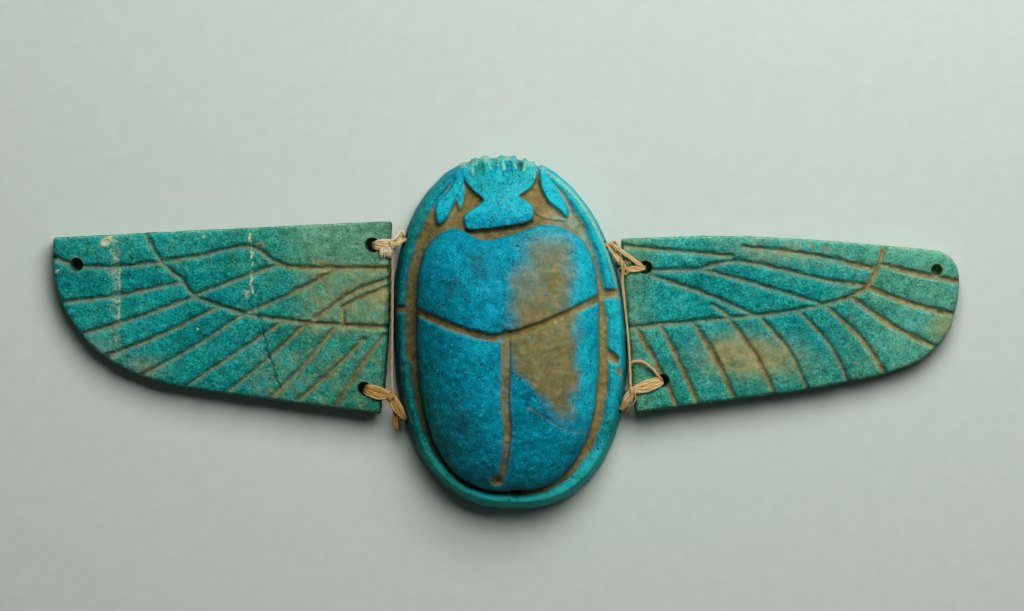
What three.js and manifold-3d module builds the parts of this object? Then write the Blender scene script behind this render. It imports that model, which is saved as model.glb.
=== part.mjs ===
// A winged scarab amulet in blue-green faience: a carved beetle between two pierced wing plates,
// each wing lashed to the beetle's side by a linen thread through drilled holes.
// Millimetres. X runs across the wings, Y towards the head, Z up. It lies on its flat underside at z = 0,
// and the origin is under the middle of the whole amulet.
import * as THREE from "three";
import { mergeVertices } from "three/addons/utils/BufferGeometryUtils.js";
import Module from "manifold-3d";

const wasm = await Module();
wasm.setup();

// ---- driving dimensions ----
const BEETLE_LENGTH = 60;
const BEETLE_WIDTH = 39.6;
const BEETLE_HEIGHT = 17.5;
const BEETLE_X = 0.7; // the beetle sits a little right of the middle of the span
const BODY_WIDTH = 31; // pronotum and wing cases
const BODY_X = 0.35;
const BODY_FRONT = 18.4; // from the middle to the front of the pronotum
const BODY_TAIL = 27; // from the middle to the tip of the wing cases
const BODY_EDGE_HEIGHT = 8.2;
const RECESS_HEIGHT = 6.4; // floor of the channel between the folded legs and the body
const HEAD_EDGE_HEIGHT = 6.9; // the head slopes from its neck down to this at the rim
const HEAD_RISE = 3.4;
const WING_THICKNESS = 4.6;
const WING_EDGE = 0.5; // rounding of a wing plate's edges
const WING_TIP_X = 76.7; // half of the amulet's span
const ROOT_LIFT = 1.3; // the lashing passes under the wing's root and lifts it
const FEATHER_CUT = { width: 1.1, depth: 0.5 };
const BODY_CUT = { width: 1.7, depth: 0.9 };
const THREAD_RADIUS = 0.3;
const LASHING_RADIUS = 0.55; // several turns of thread side by side
const LOWER_TURN_RADIUS = 0.35; // the turns under the wing, flattened by its weight
const TAIL_HOLE = [1.7, -27.2, 0.9];
const SIDE_HOLE = { height: 4.2, depth: 4.4, radius: 1.15 };
const LASHING_END = 0.9; // height of their ends, in the mouths of those holes underneath
const CLEARANCE = 0.25; // between a thread and what it lies on

const FAIENCE_BLUE = 0x0b86ad;
const FAIENCE_GREEN = 0x279a8d;
const LINEN = 0xc9a26a;

// ---- small tools ----
// A closed three.js geometry as a solid that can be joined and cut.
function solidOf(geometry) {
  const bare = geometry.index ? geometry.toNonIndexed() : geometry.clone();
  bare.deleteAttribute("normal");
  bare.deleteAttribute("uv");
  const merged = mergeVertices(bare, 1e-4);
  const vertProperties = merged.attributes.position.array;
  const triVerts = new Uint32Array(merged.index.array);
  return new wasm.Manifold(new wasm.Mesh({ numProp: 3, vertProperties, triVerts }));
}

function geometryOf(solid) {
  const made = solid.getMesh();
  const geometry = new THREE.BufferGeometry();
  geometry.setAttribute("position", new THREE.BufferAttribute(made.vertProperties, 3));
  geometry.setIndex(new THREE.BufferAttribute(made.triVerts, 1));
  geometry.computeVertexNormals();
  return geometry;
}

const joined = (solids) => solids.reduce((all, one) => all.add(one));

// A closed solid through rings of equally many points. Each ring runs counter-clockwise
// as seen from the last one, and a fan closes each end.
function loft(rings) {
  const count = rings[0].length;
  const middle = (ring) => ring.reduce((sum, p) => sum.add(p), new THREE.Vector3()).divideScalar(count);
  const points = [...rings.flat(), middle(rings[0]), middle(rings.at(-1))];
  const first = rings.length * count;
  const last = first - count;
  const faces = [];
  for (let j = 0; j < count; j++) {
    const k = (j + 1) % count;
    faces.push(first, k, j, first + 1, last + j, last + k);
    for (let a = 0; a < last; a += count) {
      faces.push(a + j, a + k, a + count + k, a + j, a + count + k, a + count + j);
    }
  }
  const geometry = new THREE.BufferGeometry().setFromPoints(points);
  return solidOf(geometry.setIndex(faces));
}

// A smooth line in plan through a few [x, y] points.
function bend(points, steps) {
  const flat = points.map(([x, y]) => new THREE.Vector3(x, y, 0));
  return new THREE.CatmullRomCurve3(flat, false, "catmullrom").getPoints(steps);
}

// The line from one point to another that bows sideways by bow at its middle, to the left of its way.
function bowed([x0, y0, x1, y1, bow], steps = 4) {
  const length = Math.hypot(x1 - x0, y1 - y0);
  const middle = [(x0 + x1) / 2 - ((y1 - y0) / length) * bow, (y0 + y1) / 2 + ((x1 - x0) / length) * bow];
  return bend([[x0, y0], middle, [x1, y1]], steps);
}

// An outline in plan pulled up between two heights.
function prism(outline, low, high) {
  const shape = new THREE.Shape(outline.map((p) => new THREE.Vector2(p.x, p.y)));
  const geometry = new THREE.ExtrudeGeometry(shape, { depth: high - low, bevelEnabled: false });
  return solidOf(geometry.translate(0, 0, low));
}

// The cutter for a carved line: a V that follows the line in plan with its keel at depth
// under the surface height(x, y), carried on upwards as a slot of the line's width.
function carver(line, height, { width, depth }, above = 4) {
  const sections = line.map((p, i) => {
    const ahead = line[Math.min(i + 1, line.length - 1)];
    const behind = line[Math.max(i - 1, 0)];
    const along = new THREE.Vector3().subVectors(ahead, behind).normalize();
    const [sideX, sideY] = [(-along.y * width) / 2, (along.x * width) / 2];
    const z = height(p.x, p.y);
    return [
      new THREE.Vector3(p.x, p.y, z - depth),
      new THREE.Vector3(p.x + sideX, p.y + sideY, z),
      new THREE.Vector3(p.x + sideX, p.y + sideY, z + above),
      new THREE.Vector3(p.x - sideX, p.y - sideY, z + above),
      new THREE.Vector3(p.x - sideX, p.y - sideY, z),
    ];
  });
  return loft(sections);
}

// A straight drilling between two points.
function drilling(from, to, radius) {
  const along = new THREE.Vector3().subVectors(to, from);
  const bit = new THREE.CylinderGeometry(radius, radius, along.length(), 14);
  const turn = new THREE.Quaternion().setFromUnitVectors(new THREE.Vector3(0, 1, 0), along.normalize());
  const middle = new THREE.Vector3().addVectors(from, to).multiplyScalar(0.5);
  return solidOf(bit.applyQuaternion(turn).translate(...middle));
}

// A round strand along a smooth path in space.
function strand(points, radius, steps) {
  const path = new THREE.CatmullRomCurve3(points, false, "centripetal");
  const sides = 6;
  const section = new THREE.Shape(
    Array.from({ length: sides }, (_, i) => {
      const turn = ((i + 0.5) / sides) * 2 * Math.PI;
      return new THREE.Vector2(radius * Math.cos(turn), radius * Math.sin(turn));
    }),
  );
  return solidOf(new THREE.ExtrudeGeometry(section, { steps, extrudePath: path, bevelEnabled: false }));
}

// ---- the beetle ----
// Its outlines are superellipses, one half ahead of y = 0 and one behind it. Each half has its own
// reach, a power that squares its corners, and a lean: how far its middle drifts to -X for each
// millimetre towards +Y, because the beetle was carved a little askew.
const BASE_OVAL = {
  x: BEETLE_X, a: BEETLE_WIDTH / 2,
  ahead: { reach: BEETLE_LENGTH / 2, power: 2.1, lean: 0.06 },
  behind: { reach: BEETLE_LENGTH / 2, power: 2.45, lean: 0.025 },
};
const BODY_OVAL = {
  x: BODY_X, a: BODY_WIDTH / 2,
  ahead: { reach: BODY_FRONT, power: 3.7, lean: 0.01 },
  behind: { reach: BODY_TAIL, power: 2.6, lean: 0.015 },
};

// The point of an oval's outline in the direction of turn.
function ovalPoint(turn, oval) {
  const [c, s] = [Math.cos(turn), Math.sin(turn)];
  const { reach, power, lean } = s >= 0 ? oval.ahead : oval.behind;
  const y = reach * Math.sign(s) * Math.abs(s) ** (2 / power);
  return [oval.x - lean * y + oval.a * Math.sign(c) * Math.abs(c) ** (2 / power), y];
}

// How far out (x, y) lies in an oval: 0 at its middle, 1 on its outline.
function ovalShare(x, y, oval) {
  const { reach, power, lean } = y >= 0 ? oval.ahead : oval.behind;
  const aside = Math.abs((x - oval.x + lean * y) / oval.a);
  return (aside ** power + Math.abs(y / reach) ** power) ** (1 / power);
}

// A ring of an oval at height z, drawn in by inset and shrunk to scale about its middle.
function ovalRing(oval, z, inset = 0, scale = 1, segments = 48) {
  return Array.from({ length: segments }, (_, i) => {
    const [x, y] = ovalPoint((i / segments) * 2 * Math.PI, oval);
    const away = scale * (1 - inset / Math.hypot(x - oval.x, y));
    return new THREE.Vector3(oval.x + (x - oval.x) * away, y * away, z);
  });
}

const domeHeight = (share) =>
  BODY_EDGE_HEIGHT + (BEETLE_HEIGHT - BODY_EDGE_HEIGHT) * Math.max(0, 1 - share ** 2.3) ** 0.6;
const bodyHeight = (x, y) => domeHeight(Math.min(1, ovalShare(x, y, BODY_OVAL)));
const headHeight = (share) => HEAD_EDGE_HEIGHT + HEAD_RISE * (1 - share ** 2.5);

// The base with the ring of folded legs: [inset, height] from the underside up, over the
// legs and down into the channel.
function ringOfLegs() {
  const profile = [
    [0.7, 0], [0, 1], [0, 1.7], [0.95, 5.6], [1.5, 6.9], [2.5, 7.5], [3.2, 7.3], [3.9, RECESS_HEIGHT],
  ];
  return loft(profile.map(([inset, z]) => ovalRing(BASE_OVAL, z, inset)));
}

function body() {
  const shares = [1, 0.985, 0.95, 0.88, 0.78, 0.64, 0.46, 0.24, 0.03];
  const foot = ovalRing(BODY_OVAL, RECESS_HEIGHT - 1);
  return loft([foot, ...shares.map((share) => ovalRing(BODY_OVAL, domeHeight(share), 0, share))]);
}

// The seam between pronotum and wing cases: lowest a little left of the middle, rising outwards.
const collar = Array.from({ length: 13 }, (_, i) => {
  const x = -16 + i * 2.7;
  return new THREE.Vector3(x, -1.1 + 0.122 * Math.abs(x + 1.9) ** 1.4, 0);
});
const suture = bend([[-0.1, -0.6], [0, -6.5], [-0.1, -12.2], [0.3, -16.4], [-0.4, -22.9], [-1.4, -25.4]], 8);
// The front of the pronotum dips where the head sits in it.
const neck = bend(
  [[-17, 13.6], [-12.6, 16.4], [-8.3, 17.5], [-3.9, 15.6], [0.6, 16.4], [5.6, 18], [10, 18.3], [17, 14]], 14,
);

const CLYPEUS = [
  [-7, 27.4], [-5.6, 28.5], [-4.4, 29.1], [-3.2, 29.5], [-1.8, 29.8], [-0.2, 30], [1.8, 29.9], [3.6, 29.6],
  [5.3, 28.6], [5.3, 27], [4.3, 24.3], [2.2, 22.8], [4.1, 21.4], [4.6, 19.6], [3.7, 18.5], [1.8, 18.1],
  [-2.1, 17.5], [-6, 17.2], [-6.9, 18], [-6.8, 19.6], [-4.2, 21.5], [-3.9, 22.4], [-5.8, 24], [-7.2, 26],
];
const LEFT_CHEEK = [
  [-7.9, 27.2], [-9.2, 24.4], [-11.6, 21.8], [-11.8, 19.6], [-11.3, 18], [-9.9, 19.3], [-9, 21.4],
  [-8, 23.2], [-7, 26],
];
const RIGHT_CHEEK = [[5.7, 27.8], [5.8, 25], [8.2, 21.8], [9.9, 19], [10.1, 20.9], [8.7, 23.4], [7.2, 25.8]];
// notches along the head's front edge
const TEETH = [[-5.6, 28.6], [-3.1, 29.5], [-1.5, 29.9], [0.3, 29.9], [2.3, 29.5], [4.2, 28.8]];

function head() {
  const shares = [1, 0.97, 0.9, 0.78, 0.6, 0.35];
  const slope = loft([
    ovalRing(BASE_OVAL, RECESS_HEIGHT - 1, 0.95),
    ...shares.map((share) => ovalRing(BASE_OVAL, headHeight(share), 0.95, share)),
  ]);
  const plates = [CLYPEUS, LEFT_CHEEK, RIGHT_CHEEK].map((plate) =>
    prism(plate.map(([x, y]) => ({ x, y })).reverse(), RECESS_HEIGHT - 1, BEETLE_HEIGHT),
  );
  return joined(plates).intersect(slope);
}

function beetle() {
  const frontOfNeck = [...neck, new THREE.Vector3(17, 40, 0), new THREE.Vector3(-17, 40, 0)];
  let made = body()
    .subtract(prism(frontOfNeck, RECESS_HEIGHT, 30))
    .subtract(carver(collar, bodyHeight, BODY_CUT))
    .subtract(carver(suture, bodyHeight, { width: 1.3, depth: 0.7 }));
  made = made.add(ringOfLegs()).add(head());
  const rimTop = () => 7.4;
  for (const line of [
    [-19.6, 3.9, -15.2, 3.4, 0], // where the left foreleg ends
    [19.4, 7.3, 15.3, 6.8, 0], // where the right foreleg ends
    [15.6, -3.2, 19.9, -5.2, 0.4], // the right hind leg's knee
  ]) {
    made = made.subtract(carver(bowed(line, 3), rimTop, { width: 1.5, depth: 1.2 }));
  }
  for (const [x, y] of TEETH) {
    const notch = carver(bowed([x * 0.95, y - 2.6, x, y + 0.3, 0], 2), () => 7.6, { width: 0.9, depth: 0.8 });
    made = made.subtract(notch);
  }
  const [tailX, tailY, tailRadius] = TAIL_HOLE;
  const tail = new THREE.Vector3(tailX, tailY, -1);
  made = made.subtract(drilling(tail, tail.clone().setZ(12), tailRadius));
  for (const one of LASHINGS) {
    const { mouth, inward } = sideHole(one);
    const end = mouth.clone().addScaledVector(inward, SIDE_HOLE.depth);
    const foot = mouth.clone().addScaledVector(inward, SIDE_HOLE.depth - SIDE_HOLE.radius);
    made = made
      .subtract(drilling(mouth.addScaledVector(inward, -2), end, SIDE_HOLE.radius))
      .subtract(drilling(foot.clone().setZ(-1), foot, SIDE_HOLE.radius));
  }
  return made;
}

// ---- the wings ----
// Each outline is leading edge, tip or root, trailing edge, run counter-clockwise. The carved
// lines are a long leading line, the scapular line under the small feathers, and feathers as
// [from x, y, to x, y, bow].
const LEFT_WING = {
  outline: [
    bend([[-21.5, -13.9], [-20.2, 2], [-19.3, 18.7]], 5),
    bend([[-19.3, 18.7], [-46.9, 17.4], [-76.6, 15.9]], 6),
    bend([[-76.6, 15.9], [-76.6, 10.6], [-75.2, 4.8], [-71.7, -0.7], [-67.8, -4.4], [-61.9, -7.6]], 12),
    bend([[-61.9, -7.6], [-54.1, -9.5], [-37.7, -11.8], [-21.5, -13.9]], 8),
  ],
  long: [
    [
      [-77.4, 13], [-71.5, 11.3], [-63.9, 11.3], [-52.2, 12.9], [-43.4, 14.6], [-38.5, 11.9], [-34, 11],
      [-18.6, 10.9],
    ],
    [
      [-61.4, 17.8], [-58.4, 12.4], [-54.9, 9.2], [-52.4, 6.3], [-46.6, 4], [-40, 2.5], [-30, 1.5],
      [-19.6, 0.9],
    ],
  ],
  feathers: [
    [-77, 4.9, -54.5, 8.6, -0.5], [-73.4, -0.8, -52.4, 6.1, -0.3], [-68, -4.3, -48.6, 4.3, -0.4],
    [-61.9, -7.5, -43.9, 3.3, -0.4], [-53.9, -9, -37.4, 2, -0.1], [-47, -10.2, -33.6, 1.6, -0.3],
    [-39.8, -11.3, -28.3, 1.4, -0.5], [-34.9, -11.5, -23.8, -1.1, -0.2], [-28.5, -12.4, -20.4, -0.4, 0.3],
    [-52.4, 6.4, -38.2, 11.6, 0], [-43.2, 3.5, -28.4, 10.7, -0.3], [-32, 2.4, -19.4, 9.3, 0.8],
    [-27.3, 1.7, -27.4, 4.3, 0], [-27.4, 4.3, -19.6, 7.7, 0.3],
  ],
  holes: [[-72.6, 11.3, 1.1], [-22.5, 14.6, 1.2], [-23.9, -9.7, 1.1]],
  mend: [[-43.4, 18], [-42.8, 12], [-42.8, 8], [-41.4, 1.8], [-40, -4], [-38.2, -9.4]],
};
const RIGHT_WING = {
  outline: [
    bend([[73.5, 13.6], [63.8, 14.6], [48.3, 15.8], [34.7, 16.2], [19.7, 15.7]], 8),
    bend([[19.7, 15.7], [20.95, 1], [22.2, -13.7]], 5),
    bend([[22.2, -13.7], [39.4, -11.4], [52.5, -9.6], [64.3, -7.2]], 8),
    bend([[64.3, -7.2], [70.2, -4.8], [74.3, -1], [75.9, 3], [76.7, 8.5], [75.8, 12], [73.5, 13.6]], 14),
  ],
  long: [
    [[24.6, 10.6], [31.8, 10.7], [38.6, 12.1], [46.6, 10.7], [54.6, 8.8], [60.8, 8.1]],
    [
      [64, 15.6], [63.6, 13], [61.4, 8.3], [58.1, 6.2], [53.7, 4.8], [46.6, 3.4], [37.6, 2.5], [28.1, 1.6],
      [20, 0.8],
    ],
  ],
  feathers: [
    [63.2, 11.6, 77.4, 8.5, -0.1], [61.4, 7.7, 77, 2.9, -0.5], [58.4, 6.1, 73.7, -2.8, -0.7],
    [53.9, 4.7, 64.8, -7.8, 1], [49.4, 3.8, 58.3, -9.2, 1.1], [42.6, 3, 51.1, -9.9, 1],
    [37.6, 2.5, 45.7, -11.2, 0.8], [31.6, 1.9, 38.9, -11.9, 0.6], [26, 1.5, 32.7, -12.7, 0.3],
    [22, 1, 29.4, -13.4, 0.3],
    [19.2, 14.8, 38, 13, -0.1], [40.3, 14.5, 61.8, 11, 0.5], [33, 10.8, 53.6, 4.8, 0.1],
    [24.8, 9.6, 42.2, 2.9, 0.4], [35, 4.7, 37.8, 2.5, 0.2],
  ],
  holes: [[72.8, 10.4, 0.9], [23.5, 10.8, 1.1], [26.4, -8.3, 1.1]],
  mend: null,
};

function wingPlate({ outline, long, feathers, holes, mend }) {
  const corners = outline.flatMap((line) => line.slice(0, -1)); // each line starts where the last one ends
  const shape = new THREE.Shape(corners.map((p) => new THREE.Vector2(p.x, p.y)));
  const geometry = new THREE.ExtrudeGeometry(shape, {
    depth: WING_THICKNESS - 2 * WING_EDGE,
    bevelThickness: WING_EDGE, bevelSize: WING_EDGE, bevelOffset: -WING_EDGE, bevelSegments: 2,
  });
  let plate = solidOf(geometry.translate(0, 0, WING_EDGE));
  const top = () => WING_THICKNESS;
  const lines = [...long.map((points) => bend(points, points.length * 2)), ...feathers.map((f) => bowed(f))];
  for (const line of lines) plate = plate.subtract(carver(line, top, FEATHER_CUT, 2));
  if (mend) plate = plate.subtract(carver(bend(mend, 8), top, { width: 0.4, depth: 0.3 }, 2));
  for (const [x, y, radius] of holes) {
    const foot = new THREE.Vector3(x, y, -1);
    plate = plate.subtract(drilling(foot, foot.clone().setZ(WING_THICKNESS + 1), radius));
  }
  return plate;
}

// ---- the lashings ----
// side is -1 at the left wing and 1 at the right; hole is the wing's hole, knot the place over the
// wing's root where the turns are tied, and mouthY where the hole in the beetle's flank opens.
const LASHINGS = [
  { side: -1, hole: LEFT_WING.holes[1], knot: [-19.3, 15], mouthY: 15.6 },
  { side: -1, hole: LEFT_WING.holes[2], knot: [-19.9, -11], mouthY: -14.6 },
  { side: 1, hole: RIGHT_WING.holes[1], knot: [20, 11.3], mouthY: 14.6 },
  { side: 1, hole: RIGHT_WING.holes[2], knot: [21.4, -10.6], mouthY: -13 },
];

// Where a hole opens in the beetle's flank, and the level way in from there.
function sideHole({ side, mouthY }) {
  const { reach, power, lean } = mouthY >= 0 ? BASE_OVAL.ahead : BASE_OVAL.behind;
  const halfWidth = BASE_OVAL.a * (1 - Math.abs(mouthY / reach) ** power) ** (1 / power);
  const mouth = new THREE.Vector3(BEETLE_X - lean * mouthY + side * halfWidth, mouthY, SIDE_HOLE.height);
  const inward = new THREE.Vector3(BEETLE_X, mouthY * 0.5, SIDE_HOLE.height).sub(mouth).normalize();
  return { mouth, inward };
}

// A lashing's way: over the wing's root by way of the knot, or under it, from the wing's hole into
// the hole in the beetle's flank, and down to an end in the mouth of that hole underneath.
function lashingWay(one) {
  const { mouth, inward } = sideHole(one);
  const hole = new THREE.Vector3(one.hole[0], one.hole[1], 0);
  const knot = new THREE.Vector3(...one.knot, 0);
  const span = hole.distanceTo(knot);
  const overTop = ROOT_LIFT + WING_THICKNESS + LASHING_RADIUS + CLEARANCE;
  const floor = LOWER_TURN_RADIUS + CLEARANCE;
  const level = SIDE_HOLE.height;
  const bendIn = SIDE_HOLE.depth - SIDE_HOLE.radius;
  const across = (reach, z) => new THREE.Vector3().lerpVectors(hole, knot, reach / span).setZ(z);
  const into = (reach, z) => mouth.clone().addScaledVector(inward, reach).setZ(z);
  return {
    over: [
      across(0.2, overTop - 3.2), across(0.2, overTop - 1.2), across(0.42, overTop - 0.3),
      across(1.1, overTop), across(span, overTop - 0.05), into(-0.9, level + 1.1),
      into(0.7, level + 0.15), into(2.1, level + 0.1),
      into(bendIn - 0.3, level - 0.5), into(bendIn, level - 1.6), into(bendIn, LASHING_END),
    ],
    under: [
      across(0, 3.6), across(0, 2.2), across(0.2, 1.2), across(0.9, floor), across(span + 0.3, floor),
      into(-1.05, 1.5), into(-0.8, level - 1.1), into(0.3, level - 0.3), into(1.8, level),
    ],
  };
}

// The thread that runs along each wing's root, from one knot to the other, by way of these points.
const RUNNING_THREAD = {
  left: [[-19.2, 12, 5.9], [-19.3, 6, 5.6], [-19.35, 0, 5.5], [-19.45, -7, 5.6]],
  right: [[19.65, 8.5, 5.9], [19.85, 5, 5.7], [20.3, 1, 5.7], [20.7, -3, 5.7], [21.15, -8, 5.9]],
};

// All the thread on one side of the beetle.
function threads(side) {
  const ways = LASHINGS.filter((one) => one.side === side).map(lashingWay);
  const between = RUNNING_THREAD[side < 0 ? "left" : "right"].map((p) => new THREE.Vector3(...p));
  const ends = ways.map((way) => way.over[4]);
  const run = strand([ends[0], ...between, ends[1]], THREAD_RADIUS, 12);
  const turns = ways.flatMap((way) => [
    strand(way.over, LASHING_RADIUS, 20),
    strand(way.under, LOWER_TURN_RADIUS, 16),
  ]);
  return joined([run, ...turns]);
}

// ---- the amulet ----
const amulet = new THREE.Group();

function piece(name, solid, color, roughness, parent = amulet) {
  const material = new THREE.MeshStandardMaterial({ color, roughness, metalness: 0 });
  const mesh = new THREE.Mesh(geometryOf(solid), material);
  mesh.name = name;
  parent.add(mesh);
  return mesh;
}

piece("scarab", beetle(), FAIENCE_BLUE, 0.55);

// A wing rests on the floor at its tip and slopes up to its root.
for (const [name, wing, side] of [["left_wing", LEFT_WING, -1], ["right_wing", RIGHT_WING, 1]]) {
  const tip = new THREE.Group();
  tip.position.x = side * WING_TIP_X;
  tip.rotation.y = side * Math.atan(ROOT_LIFT / (WING_TIP_X - 20));
  amulet.add(tip);
  piece(name, wingPlate(wing), FAIENCE_GREEN, 0.6, tip).position.x = -side * WING_TIP_X;
}

piece("left_thread", threads(-1), LINEN, 0.9);
piece("right_thread", threads(1), LINEN, 0.9);

export default amulet;
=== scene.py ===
"""A winged scarab amulet: a glazed beetle, two feathered wings and the linen thread that ties them.

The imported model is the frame. Lengths here are in millimetres and become metres where a mesh is made.
"""

import math
from types import SimpleNamespace

import bpy
import numpy as np
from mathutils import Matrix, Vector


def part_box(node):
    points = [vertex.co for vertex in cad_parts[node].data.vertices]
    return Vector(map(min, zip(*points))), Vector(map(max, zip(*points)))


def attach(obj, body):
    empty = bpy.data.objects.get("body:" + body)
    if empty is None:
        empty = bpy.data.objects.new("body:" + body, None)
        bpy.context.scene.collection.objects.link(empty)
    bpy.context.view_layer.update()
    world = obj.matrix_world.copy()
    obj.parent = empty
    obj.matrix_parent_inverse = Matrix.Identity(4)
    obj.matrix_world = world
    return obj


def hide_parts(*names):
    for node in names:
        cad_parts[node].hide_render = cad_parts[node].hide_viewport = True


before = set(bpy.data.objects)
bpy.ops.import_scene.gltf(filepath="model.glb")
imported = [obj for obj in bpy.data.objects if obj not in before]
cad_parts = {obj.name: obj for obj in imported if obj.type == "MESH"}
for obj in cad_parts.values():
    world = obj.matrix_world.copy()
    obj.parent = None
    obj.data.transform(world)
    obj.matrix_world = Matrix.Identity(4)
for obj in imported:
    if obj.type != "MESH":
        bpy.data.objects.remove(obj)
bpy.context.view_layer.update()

MM = 0.001
# pale, dark and green also carry painted highlights and painted shade, and the last mask paints light and
# shade into the tone
MASKS = ("dirt", "stain", "pale", "dark", "green", "painted_lighting")  # what a glazed piece keeps on its vertices
SHARP_FROM = 72  # degrees between two faces from which their edge stays sharp


def box_of(node):
    """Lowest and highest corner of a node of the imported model, in millimetres."""
    low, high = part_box(node)
    return np.array(low) / MM, np.array(high) / MM


BEETLE_LOW, BEETLE_HIGH = box_of("scarab")
WING_HIGH = box_of("left_wing")[1]

# ---- lines and distances ----


def soft(value):
    """The S-curve 3t2 - 2t3 of value, held between 0 and 1."""
    t = np.clip(value, 0, 1)
    return t * t * (3 - 2 * t)


def up(value, start, over):
    """0 as far as start, then rising softly to 1 over the given stretch."""
    return soft((value - start) / over)


def down(value, end, over):
    """1 at first, falling softly over the given stretch and 0 from end on."""
    return soft((end - value) / over)


def most(*values):
    """The largest of several values at every place."""
    return np.maximum.reduce(values)


def bend(points, steps=8):
    """A smooth line through points in 2 or 3 dimensions.

    Between two points it is the cubic whose slope at each point is half the way from the point
    before to the point after; past the ends the line is taken as going straight on.
    """
    p = np.array(points, float)
    p = np.vstack([2 * p[0] - p[1], p, 2 * p[-1] - p[-2]])
    stations = np.linspace(0, len(points) - 1, (len(points) - 1) * steps + 1)
    i = np.minimum(stations.astype(int), len(points) - 2)
    t = (stations - i)[:, None]
    a, b, c, d = p[i], p[i + 1], p[i + 2], p[i + 3]
    return 0.5 * (2 * b + (c - a) * t + (2 * a - 5 * b + 4 * c - d) * t**2 + (3 * b - a - 3 * c + d) * t**3)


def closed_bend(points, steps=4):
    """The same smooth line, brought round to where it starts."""
    around = [*points[-2:], *points, *points[:2]]
    return bend(around, steps)[2 * steps : -steps]


def bowed(x0, y0, x1, y1, bow, steps=8):
    """A line from one place to another whose middle stands off by bow, to the left of the way."""
    start, end = np.array((x0, y0)), np.array((x1, y1))
    way = end - start
    left = np.array((-way[1], way[0])) / np.hypot(*way)
    return bend([start, (start + end) / 2 + left * bow, end], steps)


def evenly(line, count):
    """count places at even distances along a line."""
    gaps = np.linalg.norm(np.diff(line, axis=0), axis=1)
    along = np.concatenate([[0], np.cumsum(gaps)])
    wanted = np.linspace(0, along[-1], count)
    return np.stack([np.interp(wanted, along, axis) for axis in line.T], axis=1)


def nearest(x, y, line):
    """The nearest spot of a line to every place.

    Gives the distance, the offset from the line to the place, and how far along the line the spot
    is, from 0 to 1. Each stretch's nearest spot is the foot of the perpendicular, held to the
    stretch, and the shortest of all is kept.
    """
    best = np.full(x.shape, np.inf)
    off_x, off_y, along = np.zeros(x.shape), np.zeros(x.shape), np.zeros(x.shape)
    stretches = len(line) - 1
    for i in range(stretches):
        ax, ay = line[i]
        wx, wy = line[i + 1] - line[i]
        length = max(wx * wx + wy * wy, 1e-12)
        t = np.clip(((x - ax) * wx + (y - ay) * wy) / length, 0, 1)
        dx, dy = x - ax - t * wx, y - ay - t * wy
        gap = dx * dx + dy * dy
        closer = gap < best
        best = np.where(closer, gap, best)
        off_x, off_y = np.where(closer, dx, off_x), np.where(closer, dy, off_y)
        along = np.where(closer, (i + t) / stretches, along)
    return np.sqrt(best), off_x, off_y, along


def stroke(x, y, half, reach, *lines):
    """1 on some lines, falling softly to 0 at reach times half away from them."""
    return soft(reach - np.minimum.reduce([nearest(x, y, np.array(line))[0] for line in lines]) / half)


def depth_inside(x, y, ring):
    """Distance to a closed line, above 0 inside it and below 0 outside.

    A place is inside if a ray from it towards +X crosses the ring an odd number of times.
    """
    gap = nearest(x, y, ring)[0]
    inside = np.zeros(x.shape, bool)
    for (ax, ay), (bx, by) in zip(ring[:-1], ring[1:]):
        spans = (ay > y) != (by > y)
        crossing = ax + (y - ay) * (bx - ax) / (by - ay if by != ay else 1e-12)
        inside ^= spans & (x < crossing)
    return np.where(inside, gap, -gap)


def ripple(x, y, size, seed):
    """Smooth unevenness of about that size: cosine waves that run every way, added up to a spread of 1."""
    random = np.random.default_rng(seed)
    waves = 26
    turn, start = random.uniform(0, 2 * math.pi, (2, waves))
    rate = 2 * math.pi / size * random.uniform(0.6, 1.5, waves)
    total = np.zeros(x.shape)
    for a, s, k in zip(turn, start, rate):
        total += np.cos(k * (x * math.cos(a) + y * math.sin(a)) + s)
    return total / math.sqrt(waves / 2)


def spot(x, y, at_x, at_y, wide, tall=None, tilt=0.0):
    """A soft round or oval spot: 1 in the middle, falling as exp(-r2), tilt in degrees."""
    c, s = math.cos(math.radians(tilt)), math.sin(math.radians(tilt))
    dx, dy = x - at_x, y - at_y
    u, v = (c * dx + s * dy) / wide, (c * dy - s * dx) / (tall or wide)
    return np.exp(-(u * u) - v * v)


def spots(x, y, *rows):
    """Soft spots added up; each row is a strength and then a spot's place, width, height and tilt."""
    return sum(strength * spot(x, y, *row) for strength, *row in rows)


def band(value, low, high, edge):
    """1 between low and high, falling off softly over edge on both sides."""
    return soft((value - low) / edge + 0.5) * soft((high - value) / edge + 0.5)


# ---- meshes ----


def loop_round(columns, rows):
    """Numbers of the vertices round the edge of a grid, counter-clockwise from its first corner."""
    grid = np.arange(rows * columns).reshape(rows, columns)
    return np.concatenate([grid[0, :-1], grid[:-1, -1], grid[-1, :0:-1], grid[:0:-1, 0]])


def closed_block(name, top, rings):
    """A solid with a grid of places as its top, rings of places as its walls and one flat face below.

    top is (rows, columns, 3); each ring has a place for every vertex round the grid's edge.
    """
    rows, columns = top.shape[:2]
    grid = np.arange(rows * columns).reshape(rows, columns)
    quads = [np.stack([grid[:-1, :-1], grid[:-1, 1:], grid[1:, 1:], grid[1:, :-1]], -1).reshape(-1, 4)]
    above = loop_round(columns, rows)
    places = [top.reshape(-1, 3)]
    count = rows * columns
    for ring in rings:
        below = count + np.arange(len(ring))
        quads.append(np.stack([np.roll(above, -1), above, below, np.roll(below, -1)], -1))
        places.append(ring)
        count += len(ring)
        above = below
    faces = np.concatenate(quads).tolist() + [above[::-1].tolist()]
    return new_piece(name, np.concatenate(places), faces)


def new_piece(name, places, faces):
    """A mesh object at the origin from places in millimetres and faces."""
    mesh = bpy.data.meshes.new(name)
    mesh.from_pydata((np.asarray(places) * MM).tolist(), [], faces)
    mesh.validate()
    piece = bpy.data.objects.new(name, mesh)
    bpy.context.scene.collection.objects.link(piece)
    return piece


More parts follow.
